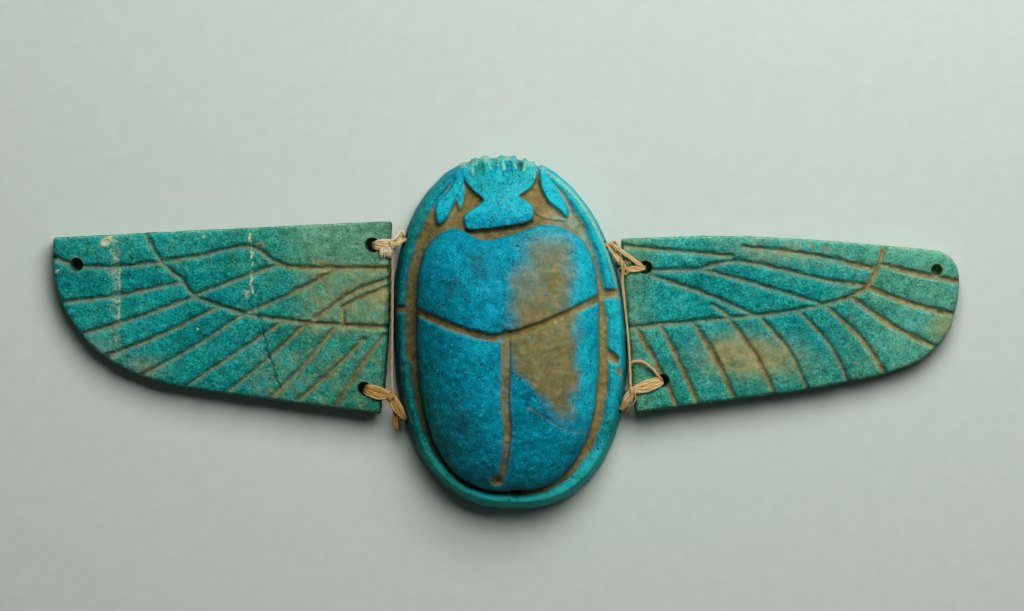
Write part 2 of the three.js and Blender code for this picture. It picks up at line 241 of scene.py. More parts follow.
def tube_faces(numbers):
    """The faces of a closed tube whose rings of vertices are the rows of numbers."""
    low, high = numbers[:-1], numbers[1:]
    walls = np.stack([low, np.roll(low, -1, 1), np.roll(high, -1, 1), high], -1).reshape(-1, 4)
    return walls.tolist() + [numbers[0, ::-1].tolist(), numbers[-1].tolist()]


def turned_pegs(name, pegs, sides=28):
    """Closed pegs for cutting holes; each is a start, a way and a list of (reach along the way, radius)."""
    places, faces = [], []
    turn = np.linspace(0, 2 * math.pi, sides, endpoint=False)
    for start, way, profile in pegs:
        axis = np.array(way, float) / np.linalg.norm(way)
        side = np.cross(axis, (0.31, 0.92, 0.24))  # any way that no hole runs along
        side /= np.linalg.norm(side)
        circle = np.outer(np.cos(turn), side) + np.outer(np.sin(turn), np.cross(axis, side))
        rings = len(places) + np.arange(len(profile))
        places += [np.array(start) + axis * reach + circle * radius for reach, radius in profile]
        faces += tube_faces(rings[:, None] * sides + np.arange(sides))
    return new_piece(name, np.concatenate(places), faces)


def cut(piece, pegs):
    """Takes the pegs out of the piece."""
    trim = piece.modifiers.new("holes", "BOOLEAN")
    trim.operation, trim.solver, trim.object = "DIFFERENCE", "EXACT", pegs
    made = bpy.data.meshes.new_from_object(piece.evaluated_get(bpy.context.evaluated_depsgraph_get()))
    piece.modifiers.clear()
    old, piece.data = piece.data, made
    bpy.data.meshes.remove(old)
    bpy.data.objects.remove(pegs)


def dress(piece, masks):
    """Stores masks(x, y, z) on the vertices, in millimetres, and shades the piece smooth but for its rims."""
    mesh = piece.data
    places = np.zeros(len(mesh.vertices) * 3)
    mesh.vertices.foreach_get("co", places)
    for name, values in zip(MASKS, masks(*places.reshape(-1, 3).T / MM)):
        store(mesh, name, np.clip(values, 0, 1))
    mesh.set_sharp_from_angle(angle=math.radians(SHARP_FROM))


def store(mesh, name, values):
    """Keeps a value for every vertex under a name, and shades the mesh smooth."""
    mesh.attributes.new(name, "FLOAT", "POINT").data.foreach_set("value", values.astype(np.float32))
    mesh.polygons.foreach_set("use_smooth", np.ones(len(mesh.polygons), bool))


def hand_in(piece, node, material):
    """Gives a finished piece its material, hangs it under the root body and hides the node of the part that
    it stands for.
    """
    piece.data.materials.append(material)
    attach(piece, "root")
    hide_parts(node)


# ---- the beetle ----
BEETLE_CELLS = 280  # cells across the grid of its upper side
BEETLE_X = 0.7
BEETLE_TOP = BEETLE_HIGH[2]
RIM_INSET = 0.75  # the flank leans in by this much up to RIM_FOOT
RIM_FOOT = 5.6
RIM_TOP = 7.5  # top of the folded legs
RECESS = 6.4  # floor of the channel between the folded legs and the body
BODY_EDGE = 8.2  # where the dome of the body starts
HEAD_EDGE, HEAD_RISE = 6.9, 3.4  # height of the head at its front edge, and how far it rises from there
HEAD_STEP = 1.25  # from the plates of the head down to the ground between them
# an oval: middle, half width, then (reach, power, lean) ahead of the middle and behind it
BASE_OVAL = {
    "x": BEETLE_X, "half": 19.8, "ahead": (BEETLE_HIGH[1], 2.1, 0.06),
    "behind": (-BEETLE_LOW[1], 2.45, 0.025),
}
BODY_OVAL = {"x": 0.35, "half": 15.5, "ahead": (18.4, 3.7, 0.01), "behind": (27.0, 2.6, 0.015)}
# against the turn round the oval in degrees: the width of the folded legs, from the flank inwards,
# and the width over which their inner edge falls
LEG_TURN = [0, 15, 30, 50, 66, 90, 130, 150, 168, 176, 189, 193, 225, 270, 315, 330, 345]
LEG_WIDTH = [3.3, 3.1, 2.6, 2.1, 1.5, 1.8, 2.3, 2.5, 2.1, 2.1, 2.0, 2.8, 2.6, 2.1, 2.9, 3.0, 3.1]
LEG_SLOPE = [1.0, 1.2, 2.0, 1.8, 1.1, 1.3, 1.2, 0.9, 0.8, 0.8, 0.8, 0.8, 0.9, 0.9, 1.1, 1.1, 1.0]
SIDE_HOLE = {"height": 4.2, "depth": 4.4, "radius": 1.15}
TAIL_HOLE = {"mouth": (1.75, -26.95, RECESS), "way": (0, 0.42, -1), "radius": 0.85}
# the rings of its flank from the top down: how far each is drawn in, and its height
FLANK = [(0.55, 4.9), (0.36, 4.0), (0.16, 3.0), (0.03, 2.1), (0, 1.5), (0.02, 0.9), (0.22, 0.35), (0.7, 0)]


def collar_line(x):
    """How far ahead the cut between the pronotum and the wing cases lies."""
    return -1.1 + 0.122 * abs(x + 1.9) ** 1.4


COLLAR = [(-16 + 2.7 * i, collar_line(-16 + 2.7 * i)) for i in range(13)]
SUTURE = [(-0.1, -0.6), (0, -6.5), (-0.1, -12.2), (0.3, -16.4), (-0.4, -22.9), (-1.2, -25)]
NECK = [(-17, 13.6), (-12.6, 16.4), (-8.3, 17.5), (-3.9, 15.6), (0.6, 16.4), (5.6, 18), (10, 18.3), (17, 14)]
CLYPEUS = [
    (-7, 27.4), (-5.6, 28.5), (-4.4, 29.1), (-3.2, 29.5), (-1.8, 29.8), (-0.2, 30), (1.8, 29.9), (3.6, 29.6),
    (5.3, 28.6), (5.3, 27), (4.3, 24.3), (2.2, 22.8), (4.1, 21.4), (4.6, 19.6), (3.7, 18.5), (1.8, 18.1),
    (-2.1, 17.5), (-6, 17.2), (-6.9, 18), (-6.8, 19.6), (-4.2, 21.5), (-3.9, 22.4), (-5.8, 24), (-7.2, 26),
]
LEFT_CHEEK = [
    (-7.9, 27.2), (-9.2, 24.4), (-11.6, 21.8), (-11.8, 19.6), (-11.3, 18), (-9.9, 19.3), (-9, 21.4),
    (-8, 23.2), (-7, 26),
]
RIGHT_CHEEK = [
    (5.8, 27.7), (5.75, 25.6), (6.2, 23.7), (7.3, 21.9), (9.0, 20.5), (10.2, 19.4), (10.3, 20.9), (9.2, 22.9),
    (7.9, 24.9), (6.7, 26.7),
]
# a sliver beside the left cheek
SPUR = [(-7.2, 25.6), (-8, 24), (-8.2, 22), (-7.8, 20.6), (-7.2, 22), (-6.9, 24)]
# nicks of the head's front edge: the place, half the width, the depth and how far they run back
TEETH = [
    (-6.5, 28.1, 0.5, 0.9, 1.8), (-4.6, 29.1, 0.4, 0.7, 2.2), (-2.2, 29.8, 0.95, 1.5, 2.8),
    (0.3, 30, 0.8, 0.7, 2.0), (2.4, 29.7, 0.6, 2.1, 3.0), (4.1, 29.2, 0.5, 0.8, 1.8),
    (5.45, 28.7, 0.5, 1.5, 3.4),
]
# crests that run back from the head's front edge, with furrows between them
RIDGES = [
    [(-6.1, 27.8), (-5.6, 26.6)], [(-3, 29.2), (-2.4, 27.4)], [(-1.3, 29.5), (-1.55, 28)],
    [(-0.6, 29.6), (-0.3, 27.3)], [(1, 29.2), (1.8, 27.7)], [(2.9, 29), (3, 27.2)], [(5, 28.6), (4.8, 26)],
]
FURROWS = [
    [(-4.3, 28.9), (-4.1, 26.8)], [(-2.0, 29.0), (-2.0, 27.7)], [(0.35, 28.6), (0.7, 26.9)],
    [(2.4, 28.9), (2.35, 27.6)],
]
# the head's plates with their share of its height and the width of their soft edge
PLATES = [(CLYPEUS, 1, 0.45), (LEFT_CHEEK, 0.95, 0.8), (RIGHT_CHEEK, 0.95, 0.7), (SPUR, 0.6, 0.8)]
# a low ridge behind the right cheek
CREASE = [(2.4, 22.5), (3.9, 21.6), (5.4, 19.9), (7.2, 19.2), (9.9, 18.9)]
UNDER_HEAD = [(-6.6, 16.9), (-2.2, 17.1), (1.9, 17.7), (4.2, 18.4)]  # a deeper line behind the head
SCRATCH = [(3.8, -12.6), (6.7, -14.4), (8.8, -15.8), (10.6, -16.7), (13.6, -17)]
SCORES = [[(-8.0, -12.6), (-7.3, -13.9), (-6.8, -15.8)], [(-9.2, -12.2), (-8.4, -13.6), (-8.0, -14.8)]]
# cuts across the folded legs: the way, half the width and the depth
LEG_CUTS = [
    ([(-19.9, 3.9), (-17.4, 3.8), (-15.2, 3.4)], 0.55, 1.0),  # end of the left foreleg
    ([(19.9, 6.5), (17.5, 6.4), (15.2, 6.3)], 0.75, 1.0),  # end of the right foreleg
    ([(15.4, -3.4), (17.2, -3.9), (18.4, -4.7)], 0.75, 0.9),  # knee of the right hind leg
    ([(18.4, -4.7), (19.2, -6.6), (19.6, -9), (19.5, -12)], 0.35, 0.35),  # its shin against the middle leg
    ([(-16.8, -5.5), (-17.5, -6.6), (-17.4, -9.5), (-16.8, -12.5), (-15.9, -15)], 0.35, 0.3),  # left hind leg
]


def oval_inset(x, y, oval):
    """Share of an oval that a place lies at, 0 in the middle and 1 on its edge, and how far inside
    the edge it is.

    The share is the root of order p of |across / half|^p + |along / reach|^p, across leaning with
    y; the distance is what is left of the share over the share's slope.
    """
    reach, power, lean = (np.where(y >= 0, a, b) for a, b in zip(oval["ahead"], oval["behind"]))
    across, along = (x - oval["x"] + lean * y) / oval["half"], y / reach
    share = np.maximum(np.abs(across) ** power + np.abs(along) ** power, 1e-9) ** (1 / power)
    slope_x = share ** (1 - power) * np.abs(across) ** (power - 1) * np.sign(across) / oval["half"]
    slope_y = share ** (1 - power) * np.abs(along) ** (power - 1) * np.sign(along) / reach + slope_x * lean
    return share, (1 - share) / np.maximum(np.hypot(slope_x, slope_y), 1e-4)


def oval_places(across, along, oval, inset=0.0):
    """Places of the unit disc laid on an oval: out along their own direction by their radius, with
    the edge of the disc on the oval, drawn in by inset, and the whole leaned over."""
    reach, power, lean = (np.where(along >= 0, a, b) for a, b in zip(oval["ahead"], oval["behind"]))
    radius = np.hypot(across, along)
    cx, cy = across / np.maximum(radius, 1e-9), along / np.maximum(radius, 1e-9)
    out = radius * (np.abs(cx) ** power + np.abs(cy) ** power) ** (-1 / power)
    y = out * cy * (reach - inset)
    return oval["x"] - lean * y + out * cx * (oval["half"] - inset), y


def notches(x, y):
    """The worn nicks of the head's front edge: how deep they are in the middle, 0 outside."""
    depth = np.zeros(x.shape)
    for tooth_x, tooth_y, half, deep, back in TEETH:
        line = np.array([(tooth_x * 0.96, tooth_y - back), (tooth_x, tooth_y + 1.5)])
        gap, _, _, along = nearest(x, y, line)
        depth = np.maximum(depth, deep * soft(1.4 - gap / half) * soft(along * 1.6))
    return depth


def carve_beetle(x, y):
    """Height of the beetle's upper side over every place, and how much each carved feature holds there.

    From the outside in: the ring of folded legs, the channel inside it, the domed body cut by the
    collar and the suture, and the head's plates standing on sloping ground.
    """
    share, inset = oval_inset(x, y, BASE_OVAL)
    body_share, body_inset = oval_inset(x, y, BODY_OVAL)
    turn = np.degrees(np.arctan2(y / BEETLE_HIGH[1], (x - BEETLE_X) / BASE_OVAL["half"]))
    uneven = ripple(x, y, 5.5, 1)

    neck_gap, _, neck_off, _ = nearest(x, y, bend(NECK))
    behind_neck = np.where(neck_off < 0, neck_gap, -neck_gap)
    head_top = HEAD_EDGE + HEAD_RISE * (1 - np.clip(share, 0, 1) ** 2.5)
    ground = RECESS + np.maximum(0, head_top - HEAD_STEP - RECESS) * down(behind_neck, 2.6, 1.8)
    ground = RECESS + (ground - RECESS) * up(inset, 2.4, 2.5) * up(y, 9, 5)

    leg_width, leg_slope = (np.interp(turn, LEG_TURN, row, period=360) for row in (LEG_WIDTH, LEG_SLOPE))
    leg_width = leg_width + 0.1 * uneven
    leg = soft((leg_width - inset) / leg_slope + 0.5)
    height = ground + (RIM_TOP - 0.3 * up(inset, 1.8, 1.6) - ground) * leg

    plates = np.zeros(x.shape)
    for plate, high, edge in PLATES:
        inside = depth_inside(x, y, closed_bend(plate))
        plates = most(plates, high * soft((inside + 0.6 * edge) / edge))
    height = most(height, ground + (head_top - ground) * plates)
    crease = stroke(x, y, 0.35, 1.3, bend(CREASE)) * (1 - plates)
    under = stroke(x, y, 0.42, 1.4, bend(UNDER_HEAD)) * (1 - plates)
    height = height + 0.36 * crease - 0.45 * under

    dome = BODY_EDGE + (BEETLE_TOP - BODY_EDGE) * np.maximum(0, 1 - body_share**2.3) ** 0.6
    body = soft((body_inset + 0.1 + 0.05 * uneven) / 0.55) * up(behind_neck, -0.1, 0.7)
    height = height + (dome - height) * body

    collar_gap, _, collar_side, _ = nearest(x, y, np.array(COLLAR))
    collar_gap = np.maximum(collar_gap + 0.04 * ripple(x, y, 3.5, 4), 0)
    collar = soft(1.55 - collar_gap / 0.62) * up(body_inset, -1.2, 0.4)
    suture_gap, _, _, along = nearest(x, y, bend(SUTURE))
    suture_half = 0.85 - 0.38 * along + 0.03 * ripple(x, y, 3.5, 5)
    suture = soft((suture_half - suture_gap) / 0.3 + 0.5) * (1 - collar)
    pit = np.clip(spot(x, y, -1.5, -25.1, 0.95, 0.75) * 1.5, 0, 1)
    hollow = 0.28 * np.exp(-((collar_gap / 1.5) ** 2)) + 0.16 * np.exp(-((suture_gap / 1.6) ** 2))
    height = height - (0.95 * collar + hollow) * body - 0.6 * suture - 0.55 * pit

    cuts = np.zeros(x.shape)
    for way, half, depth in LEG_CUTS:
        edge = stroke(x, y, half, 1.5, bend(way)) * (1 - body)
        height = height - depth * edge * leg
        cuts = most(cuts, edge * depth)
    ridges, furrows = stroke(x, y, 0.32, 1.5, *RIDGES), stroke(x, y, 0.4, 1.5, *FURROWS)
    teeth = notches(x, y)
    chip = spot(x, y, 19.1, -6.7, 0.42, 0.6, 30)
    scratch = stroke(x, y, 0.3, 1, bend(SCRATCH))
    height = height + 0.22 * ridges - 0.4 * furrows - teeth * up(inset, 0.6, 0.5)
    height = height - 0.3 * chip - 0.1 * scratch * body

    height = height + 0.035 * uneven * (leg + 2 * body)
    height = height + 0.025 * ripple(x, y, 1.8, 2) + 0.012 * ripple(x, y, 0.8, 3)
    # the rim is rounded by a quarter of a circle, drawn out less towards the tail
    round_width = 1.25 - 0.45 * up(-y, 14, 10)
    share_in = np.clip((inset - RIM_INSET) / round_width, 0, 1)
    height = RIM_FOOT + (height - RIM_FOOT) * np.sqrt(np.clip(1 - (1 - share_in) ** 2, 0, 1))
    return height, SimpleNamespace(
        inset=inset, body_inset=body_inset, behind_neck=behind_neck, leg=leg, leg_width=leg_width, body=body,
        collar=collar, collar_side=collar_side, suture=suture, suture_gap=suture_gap, pit=pit, cuts=cuts,
        plates=plates, ridges=ridges, furrows=furrows, teeth=teeth, crease=crease, under=under, chip=chip,
        scratch=scratch,
    )


def beetle_stain(x, y):
    """The brown veil over the right of the pronotum and of the right wing case."""
    wobble = 0.3 * ripple(x, y, 4.5, 11)
    left = np.interp(y, [-2, 6, 10, 13, 16], [1.2, 1.2, 1.8, 3.2, 5])
    pronotum = band(x + wobble, left - 0.3, 11.2, 3.4) * down(y, 15.5, 7)
    pronotum = most(pronotum, 0.95 * band(x + wobble, 3.2, 11, 4) * down(y, 18.4, 5))
    heart = spots(x, y, (1, 8.2, 9.5, 2.6, 4.5), (1, 4.5, 2.5, 4, 2.6))
    pronotum = pronotum * (0.72 + 0.28 * np.clip(heart, 0, 1))
    left = np.interp(-y, [0, 5.6, 8, 10, 12.1, 14.7, 17], [0.4, 1.0, 3.2, 5.3, 7.0, 8.7, 9.6])
    right = np.interp(-y, [0, 9, 12.1, 14.7, 17], [11.9, 11.9, 11.2, 10.5, 9.8])
    case = band(x + 1.3 * wobble, left, right, 2.6) * up(y, -17.2, 6)
    return np.where(y > collar_line(x), pronotum, case)


def beetle_masks(x, y, z):
    """The beetle's masks, from its carved features."""
    f = carve_beetle(x, y)[1]
    top = soft((z - RIM_FOOT + 0.3) / 0.6)
    flank, fine = 1 - top, np.clip(0.5 + 0.5 * ripple(x, y, 2.4, 12), 0, 1)

    # dirt lies in the channel, up over the inner edge of the legs, and in the cuts; it is
    # thinner behind the right cheek and at the tail
    bank = most(soft((f.inset - f.leg_width + 0.7) / 1.7), down(f.leg, 0.55, 0.5))
    open_ground = bank * down(f.body, 0.6, 0.6) * down(f.plates, 0.75, 0.7) * top
    dirt_thinning = up(x, 5, 5) * up(y, 6, 6) * (0.24 + 0.14 * fine) + 0.3 * up(-y, 16, 8) * (0.5 + 0.5 * fine)
    grooves = most(
        f.collar * (0.72 + 0.25 * fine), f.suture * (0.62 + 0.2 * fine), 0.9 * np.clip(f.cuts * 1.2, 0, 1),
        np.clip(f.pit * 1.2, 0, 0.9), 0.25 * f.teeth, np.clip(f.chip * 1.3, 0, 0.9),
        0.3 * soft(1.4 - f.suture_gap / 1.3) * f.body * down(y, -2, 3),
    )
    dirt = most(open_ground * (1 - dirt_thinning) * (1 - 0.2 * f.crease), grooves * top)
    stain = most(beetle_stain(x, y), 0.45 * f.scratch) * f.body

    front = up(y, 25.6, 3.2) * band(x, -8.5, 7.5, 2.5)
    pale = front * (0.12 + 0.6 * down(f.inset, 1.9, 1.3) * (0.55 + 0.45 * fine))
    pale = pale * (top + flank * up(z, 0.6, 3))
    pale = most(pale, 0.62 * f.ridges * top * (0.6 + 0.4 * fine)) * (1 - 0.8 * f.furrows * top)
    # Among these pale marks, the front right of the head's plates and the pronotum's front edge are painted
    # highlights, and the low side of the collar and the rim's outer crest, strongest at the upper right, are
    # worn glaze with a painted highlight.
    pale = most(
        pale, f.plates * (0.26 * spot(x, y, 0.8, 22.4, 4.5, 5) * top),
        0.3 * f.plates * up(y, 22, 6) * up(x, 1, 4),
        0.4 * f.body * band(f.behind_neck, 0.05, 0.45, 0.3),
        0.16 * f.body * band(np.abs(f.collar_side), 0.75, 1.1, 0.5) * (f.collar_side < 0),
        band(f.inset, 0.4, 1.1, 0.6) * (0.55 * up(x, 2, 8) * up(y, 0, 10) + 0.16 * up(y, -10, 10)),
        0.18 * band(f.body_inset, 0.15, 0.4, 0.3) * (1 - f.plates), 0.26 * f.crease,
    )

    shade = up(-x, 1, 9) * down(y, 22, 12)
    channel = (1 - f.leg) * (1 - f.body) * (1 - f.plates)
    # the spot at the tail hole's mouth is painted shade in the hole
    dark = spots(
        x, y, (0.7, -4.8, 11.8, 1.6), (0.6, -3.7, 9.6, 1.3), (0.8, -8.7, 7, 1.8), (0.3, -3, -23.8, 3, 2),
        (0.45, -7.2, -15, 2.2, 5.5, 18), (0.35, -10, -19, 4.5, 6, 30),
        (1.1, *TAIL_HOLE["mouth"][:2], 1.5, 0.9),
        (1, 2.4, 28.5, 0.35, 1.1), (0.25, -4.8, 27, 1.4, 1.6), (0.2, 0.7, 27.2, 0.6, 1.4),
        (0.35, 5.5, 26.6, 0.3, 1.6),
    )
    dark = dark + 0.8 * fine * stroke(x, y, 0.2, 1.3, *map(bend, SCORES))
    # the line under the head's back edge gets painted shadow
    dark = dark + 0.85 * f.under + 0.3 * f.furrows * top
    # painted shade on the left of the channel floor and of the flank, which face away from the light
    dark = dark + shade * ((0.45 + 0.3 * up(-y, 6, 8)) * channel + 0.9 * flank)
    # painted shade on the left legs
    dark = dark + 0.4 * f.leg * top * up(-x, 4, 8) * down(y, 14, 12) * up(y, -14, 10)

    # greener towards the lower left and on the left legs: partly the glaze, partly painted shade, as the
    # green shades are darker
    green = most(
        0.75 * up(-x - 0.25 * y, 9, 9) * down(y, 6, 16) + 0.5 * up(-y, 21, 8), 0.55 * front * down(x, 5, 5),
        0.35 * f.plates * up(y, 21, 4), 0.8 * spot(x, y, -4.8, 27.2, 2.4, 2.2) + 0.5 * f.furrows * top,
        (0.3 + 0.3 * up(-y, 6, 12) + 0.35 * up(-x, 8, 6)) * f.leg * top, (0.35 + 0.4 * up(-y, 0, 10)) * flank,
    )
    # painted light and shade as a brighter or deeper tone: brighter on the right, on the head and on the legs
    # and flank at the tail; deeper on the left and in two patches on the right of the body
    painted_lighting = 0.49 + 0.38 * up(x, 1, 12) * up(y, -20, 14) - 0.18 * up(-x, 2, 12) * down(y, 14, 16)
    painted_lighting = painted_lighting + 0.36 * up(y, 17, 4) * (0.4 + 0.6 * f.plates) + (f.leg + 0.3 * flank) * up(-y, 16, 8)
    painted_lighting = painted_lighting - 0.24 * spot(x, y, 5.5, -12, 4, 5.5)
    painted_lighting = painted_lighting - 0.1 * up(x, 6, 5) * down(y, 6, 6) * up(y, -14, 8) * f.body
    return dirt, stain, pale, dark, green, painted_lighting


def side_hole(side, mouth_y):
    """Where a lashing's hole opens in the beetle's flank, and the level way in from there."""
    reach, power, lean = BASE_OVAL["ahead" if mouth_y >= 0 else "behind"]
    half = BASE_OVAL["half"] * (1 - abs(mouth_y / reach) ** power) ** (1 / power)
    mouth = np.array((BEETLE_X - lean * mouth_y + side * half, mouth_y, SIDE_HOLE["height"]))
    inward = np.array((BEETLE_X, mouth_y / 2, SIDE_HOLE["height"])) - mouth
    return mouth, inward / np.linalg.norm(inward)


def make_beetle():
    """The beetle: a square grid rounded to a disc, laid on the oval and raised to the carved height,
    with the flank below it and the holes for the thread."""
    steps = np.linspace(-1, 1, BEETLE_CELLS + 1)
    u, v = np.meshgrid(steps, steps)
    across, along = u * np.sqrt(1 - v * v / 2), v * np.sqrt(1 - u * u / 2)
    x, y = oval_places(across, along, BASE_OVAL, RIM_INSET)
    height = carve_beetle(x, y)[0]
    edge = loop_round(BEETLE_CELLS + 1, BEETLE_CELLS + 1)
    across, along, edge_height = across.ravel()[edge], along.ravel()[edge], height.ravel()[edge]
    rings = []
    for inset, z in FLANK:
        rx, ry = oval_places(across, along, BASE_OVAL, inset)
        worn = 0.36 * notches(rx, ry) + 0.03 * ripple(rx, ry, 4, 6) * (z > 0)
        rx, ry = oval_places(across, along, BASE_OVAL, inset + np.clip(worn, -0.1, 0.5))
        rings.append(np.stack([rx, ry, z * edge_height / RIM_FOOT], -1))
    beetle = closed_block("scarab_glazed", np.stack([x, y, height], -1), rings)

    depth, radius = SIDE_HOLE["depth"], SIDE_HOLE["radius"]
    level, upright = [], []
    for lashing in LASHINGS:
        mouth, inward = side_hole(lashing["side"], lashing["mouth_y"])
        level.append((mouth, inward, [(-1.5, radius + 0.1), (0.6, radius), (depth, radius - 0.05)]))
        foot = (mouth + inward * (depth - radius)) * (1, 1, 0)
        upright.append((foot, (0, 0, 1), [(-1, radius + 0.05), (SIDE_HOLE["height"], radius - 0.1)]))
    tail = np.array(TAIL_HOLE["mouth"]) - 1.2 * np.array(TAIL_HOLE["way"])
    # the tail hole goes right through, so its peg is longer than the beetle is thick there
    level.append((tail, TAIL_HOLE["way"], [(0, TAIL_HOLE["radius"]), (14, TAIL_HOLE["radius"])]))
    cut(beetle, turned_pegs("holes", level))
    cut(beetle, turned_pegs("shafts", upright))
    dress(beetle, beetle_masks)
    return beetle


# ---- the wings ----
WING_THICKNESS = 4.6
WING_TIP_X = 76.7  # where a wing rests on its tip
ROOT_X, ROOT_SWELL = 22.3, 0.45  # the wings' root walls stand out a little halfway down
ROOT_LIFT = WING_HIGH[2] - WING_THICKNESS
LIFT_REACH = WING_TIP_X - 20  # from there to the lifted root
# the rings of a wing's wall from the top down: how far each is drawn in, and its height
WING_WALL = [(0.14, 4.1), (0.02, 3.6), (0, 2.6), (0.03, 1.5), (0.03, 0.8), (0.2, 0.25), (0.5, 0)]
CORNER_SPREAD = 3.4  # steps over which the corners of a wing's outline are rounded
TOP_INSET, TOP_EDGE = 0.38, 4.42  # inset and height where the grid of a wing's top meets its wall
LIGHT_SIDE = (0.42, 0.91)  # the carver leaned the tool so that a cut's wall on this side is the steeper
KEEL_SHIFT = 0.24  # and its keel lies this far off the drawn line, away from that side
# Each wing: its four edges, west, south, east and north, the two long lines, and the feathers as
# (from x, y, to x, y, bow).
LEFT_WING = {
    "west": [(-61.9, -7.6), (-67.8, -4.4), (-71.7, -0.7), (-75.2, 4.8), (-76.6, 10.6), (-76.6, 15.9)],
    "south": [(-61.9, -7.6), (-54.1, -9.5), (-37.7, -11.8), (-21.1, -13.9)],
    "east": [(-21.1, -13.9), (-19.95, 2), (-19.2, 18.7)],
    "north": [(-76.6, 15.9), (-46.9, 17.4), (-19.2, 18.7)],
    "long": [
        [
            (-77.4, 13), (-71.5, 11.3), (-63.9, 11.3), (-52.2, 12.9), (-43.4, 14.6), (-38.5, 11.9), (-34, 11),
            (-18.6, 10.9),
        ],
        [
            (-61.4, 17.8), (-58.4, 12.4), (-54.9, 9.2), (-52.4, 6.3), (-46.6, 4), (-40, 2.5), (-30, 1.5),
            (-19.6, 0.9),
        ],
    ],
    "feathers": [
        (-77, 4.9, -54.5, 8.6, -0.5), (-73.4, -0.8, -52.4, 6.1, -0.3), (-68, -4.3, -48.6, 4.3, -0.4),
        (-61.9, -7.5, -43.9, 3.3, -0.4), (-53.9, -9, -37.4, 2, -0.1), (-47, -10.2, -33.6, 1.6, -0.3),
        (-39.8, -11.3, -28.3, 1.4, -0.5), (-34.9, -11.5, -23.8, -1.1, -0.2), (-28.5, -12.4, -20.4, -0.4, 0.3),
        (-52.4, 6.4, -38.2, 11.6, 0), (-43.2, 3.5, -28.4, 10.7, -0.3), (-32, 2.4, -19.4, 9.3, 0.8),
        (-27.3, 1.7, -27.4, 4.3, 0), (-27.4, 4.3, -19.6, 7.7, 0.3),
    ],
    # x, y, radius, waist
    "holes": [(-72.6, 11.3, 1.1, 0.55), (-22.5, 14.6, 1.2, 0.8), (-23.9, -9.7, 1.1, 0.8)],
    "chips": [(0.3, -76.3, 12.7, 0.6, 0.4)],
    "seed": 30,
}
RIGHT_WING = {
    "west": [(21.85, -13.7), (20.6, 1), (19.4, 15.7)],
    "south": [(21.85, -13.7), (39.4, -11.4), (52.5, -9.6), (64.3, -7.2)],
    "east": [(64.3, -7.2), (70.2, -4.8), (74.3, -1), (75.9, 3), (76.7, 8.5), (75.8, 12), (73.5, 13.6)],
    "north": [(19.4, 15.7), (34.7, 16.2), (48.3, 15.8), (63.8, 14.6), (73.5, 13.6)],
    "long": [
        [(24.6, 10.6), (31.8, 10.7), (38.6, 12.1), (46.6, 10.7), (54.6, 8.8), (60.8, 8.1)],
        [
            (64, 15.6), (63.6, 13), (61.4, 8.3), (58.1, 6.2), (53.7, 4.8), (46.6, 3.4), (37.6, 2.5),
            (28.1, 1.6), (20, 0.8),
        ],
    ],
    "feathers": [
        (63.2, 11.6, 77.4, 8.5, -0.1), (61.4, 7.7, 77, 2.9, -0.5), (58.4, 6.1, 73.7, -2.8, -0.7),
        (53.9, 4.7, 64.8, -7.8, 1), (49.4, 3.8, 58.3, -9.2, 1.1), (42.6, 3, 51.1, -9.9, 1),
        (37.6, 2.5, 45.7, -11.2, 0.8), (31.6, 1.9, 38.9, -11.9, 0.6), (26, 1.5, 32.7, -12.7, 0.3),
        (22, 1, 29.4, -13.4, 0.3), (19.2, 14.8, 38, 13, -0.1), (40.3, 14.5, 61.8, 11, 0.5),
        (33, 10.8, 53.6, 4.8, 0.1), (24.8, 9.6, 42.2, 2.9, 0.4), (35, 4.7, 37.8, 2.5, 0.2),
    ],
    "holes": [(72.8, 10.4, 0.95, 1.15), (23.5, 10.8, 1.1, 0.8), (26.4, -8.3, 1.1, 0.8)],
    "chips": [(0.2, 44.2, 5.7, 0.3), (0.25, 23.5, -12.3, 0.4, 0.3)],
    "seed": 60,
}
MEND = [(-43.4, 18), (-42.8, 12), (-42.8, 8), (-41.4, 1.8), (-40, -4), (-38.2, -9.4)]


def wing_lines(wing):
    """Every carved line of a wing."""
    return [bend(points, 6) for points in wing["long"]] + [bowed(*feather) for feather in wing["feathers"]]


def wing_cuts(x, y, wing):
    """How deep the carved lines go at every place, and which side of a line's keel the place is on.

    A cut is a V with a rounded bottom: 1 at the keel, falling to 0 over half a width, which is
    narrow on the steep side and wide on the other. above is 1 on the steep side and -1 below.
    """
    x, y = x + KEEL_SHIFT * LIGHT_SIDE[0], y + KEEL_SHIFT * LIGHT_SIDE[1]
    seed = wing["seed"]
    wide = 1 + 0.16 * ripple(x, y, 3.5, seed)
    deepest = np.zeros(x.shape)
    above = np.zeros(x.shape)
    reach = np.full(x.shape, 9.0)
    for line in wing_lines(wing):
        gap, off_x, off_y, _ = nearest(x, y, line)
        side = np.clip((off_x * LIGHT_SIDE[0] + off_y * LIGHT_SIDE[1]) / np.maximum(gap, 0.05), -1, 1)
        half = wide * (0.72 - 0.1 * side)
        cut_here = np.clip(1 - gap / half, 0, 1)
        cut_here = 0.2 * cut_here * (2 - cut_here) + 0.8 * soft(cut_here)
        closer = gap < reach
        above = np.where(closer, side, above)
        reach = np.minimum(reach, gap)
        deepest = np.maximum(deepest, cut_here)
    return deepest, above, reach


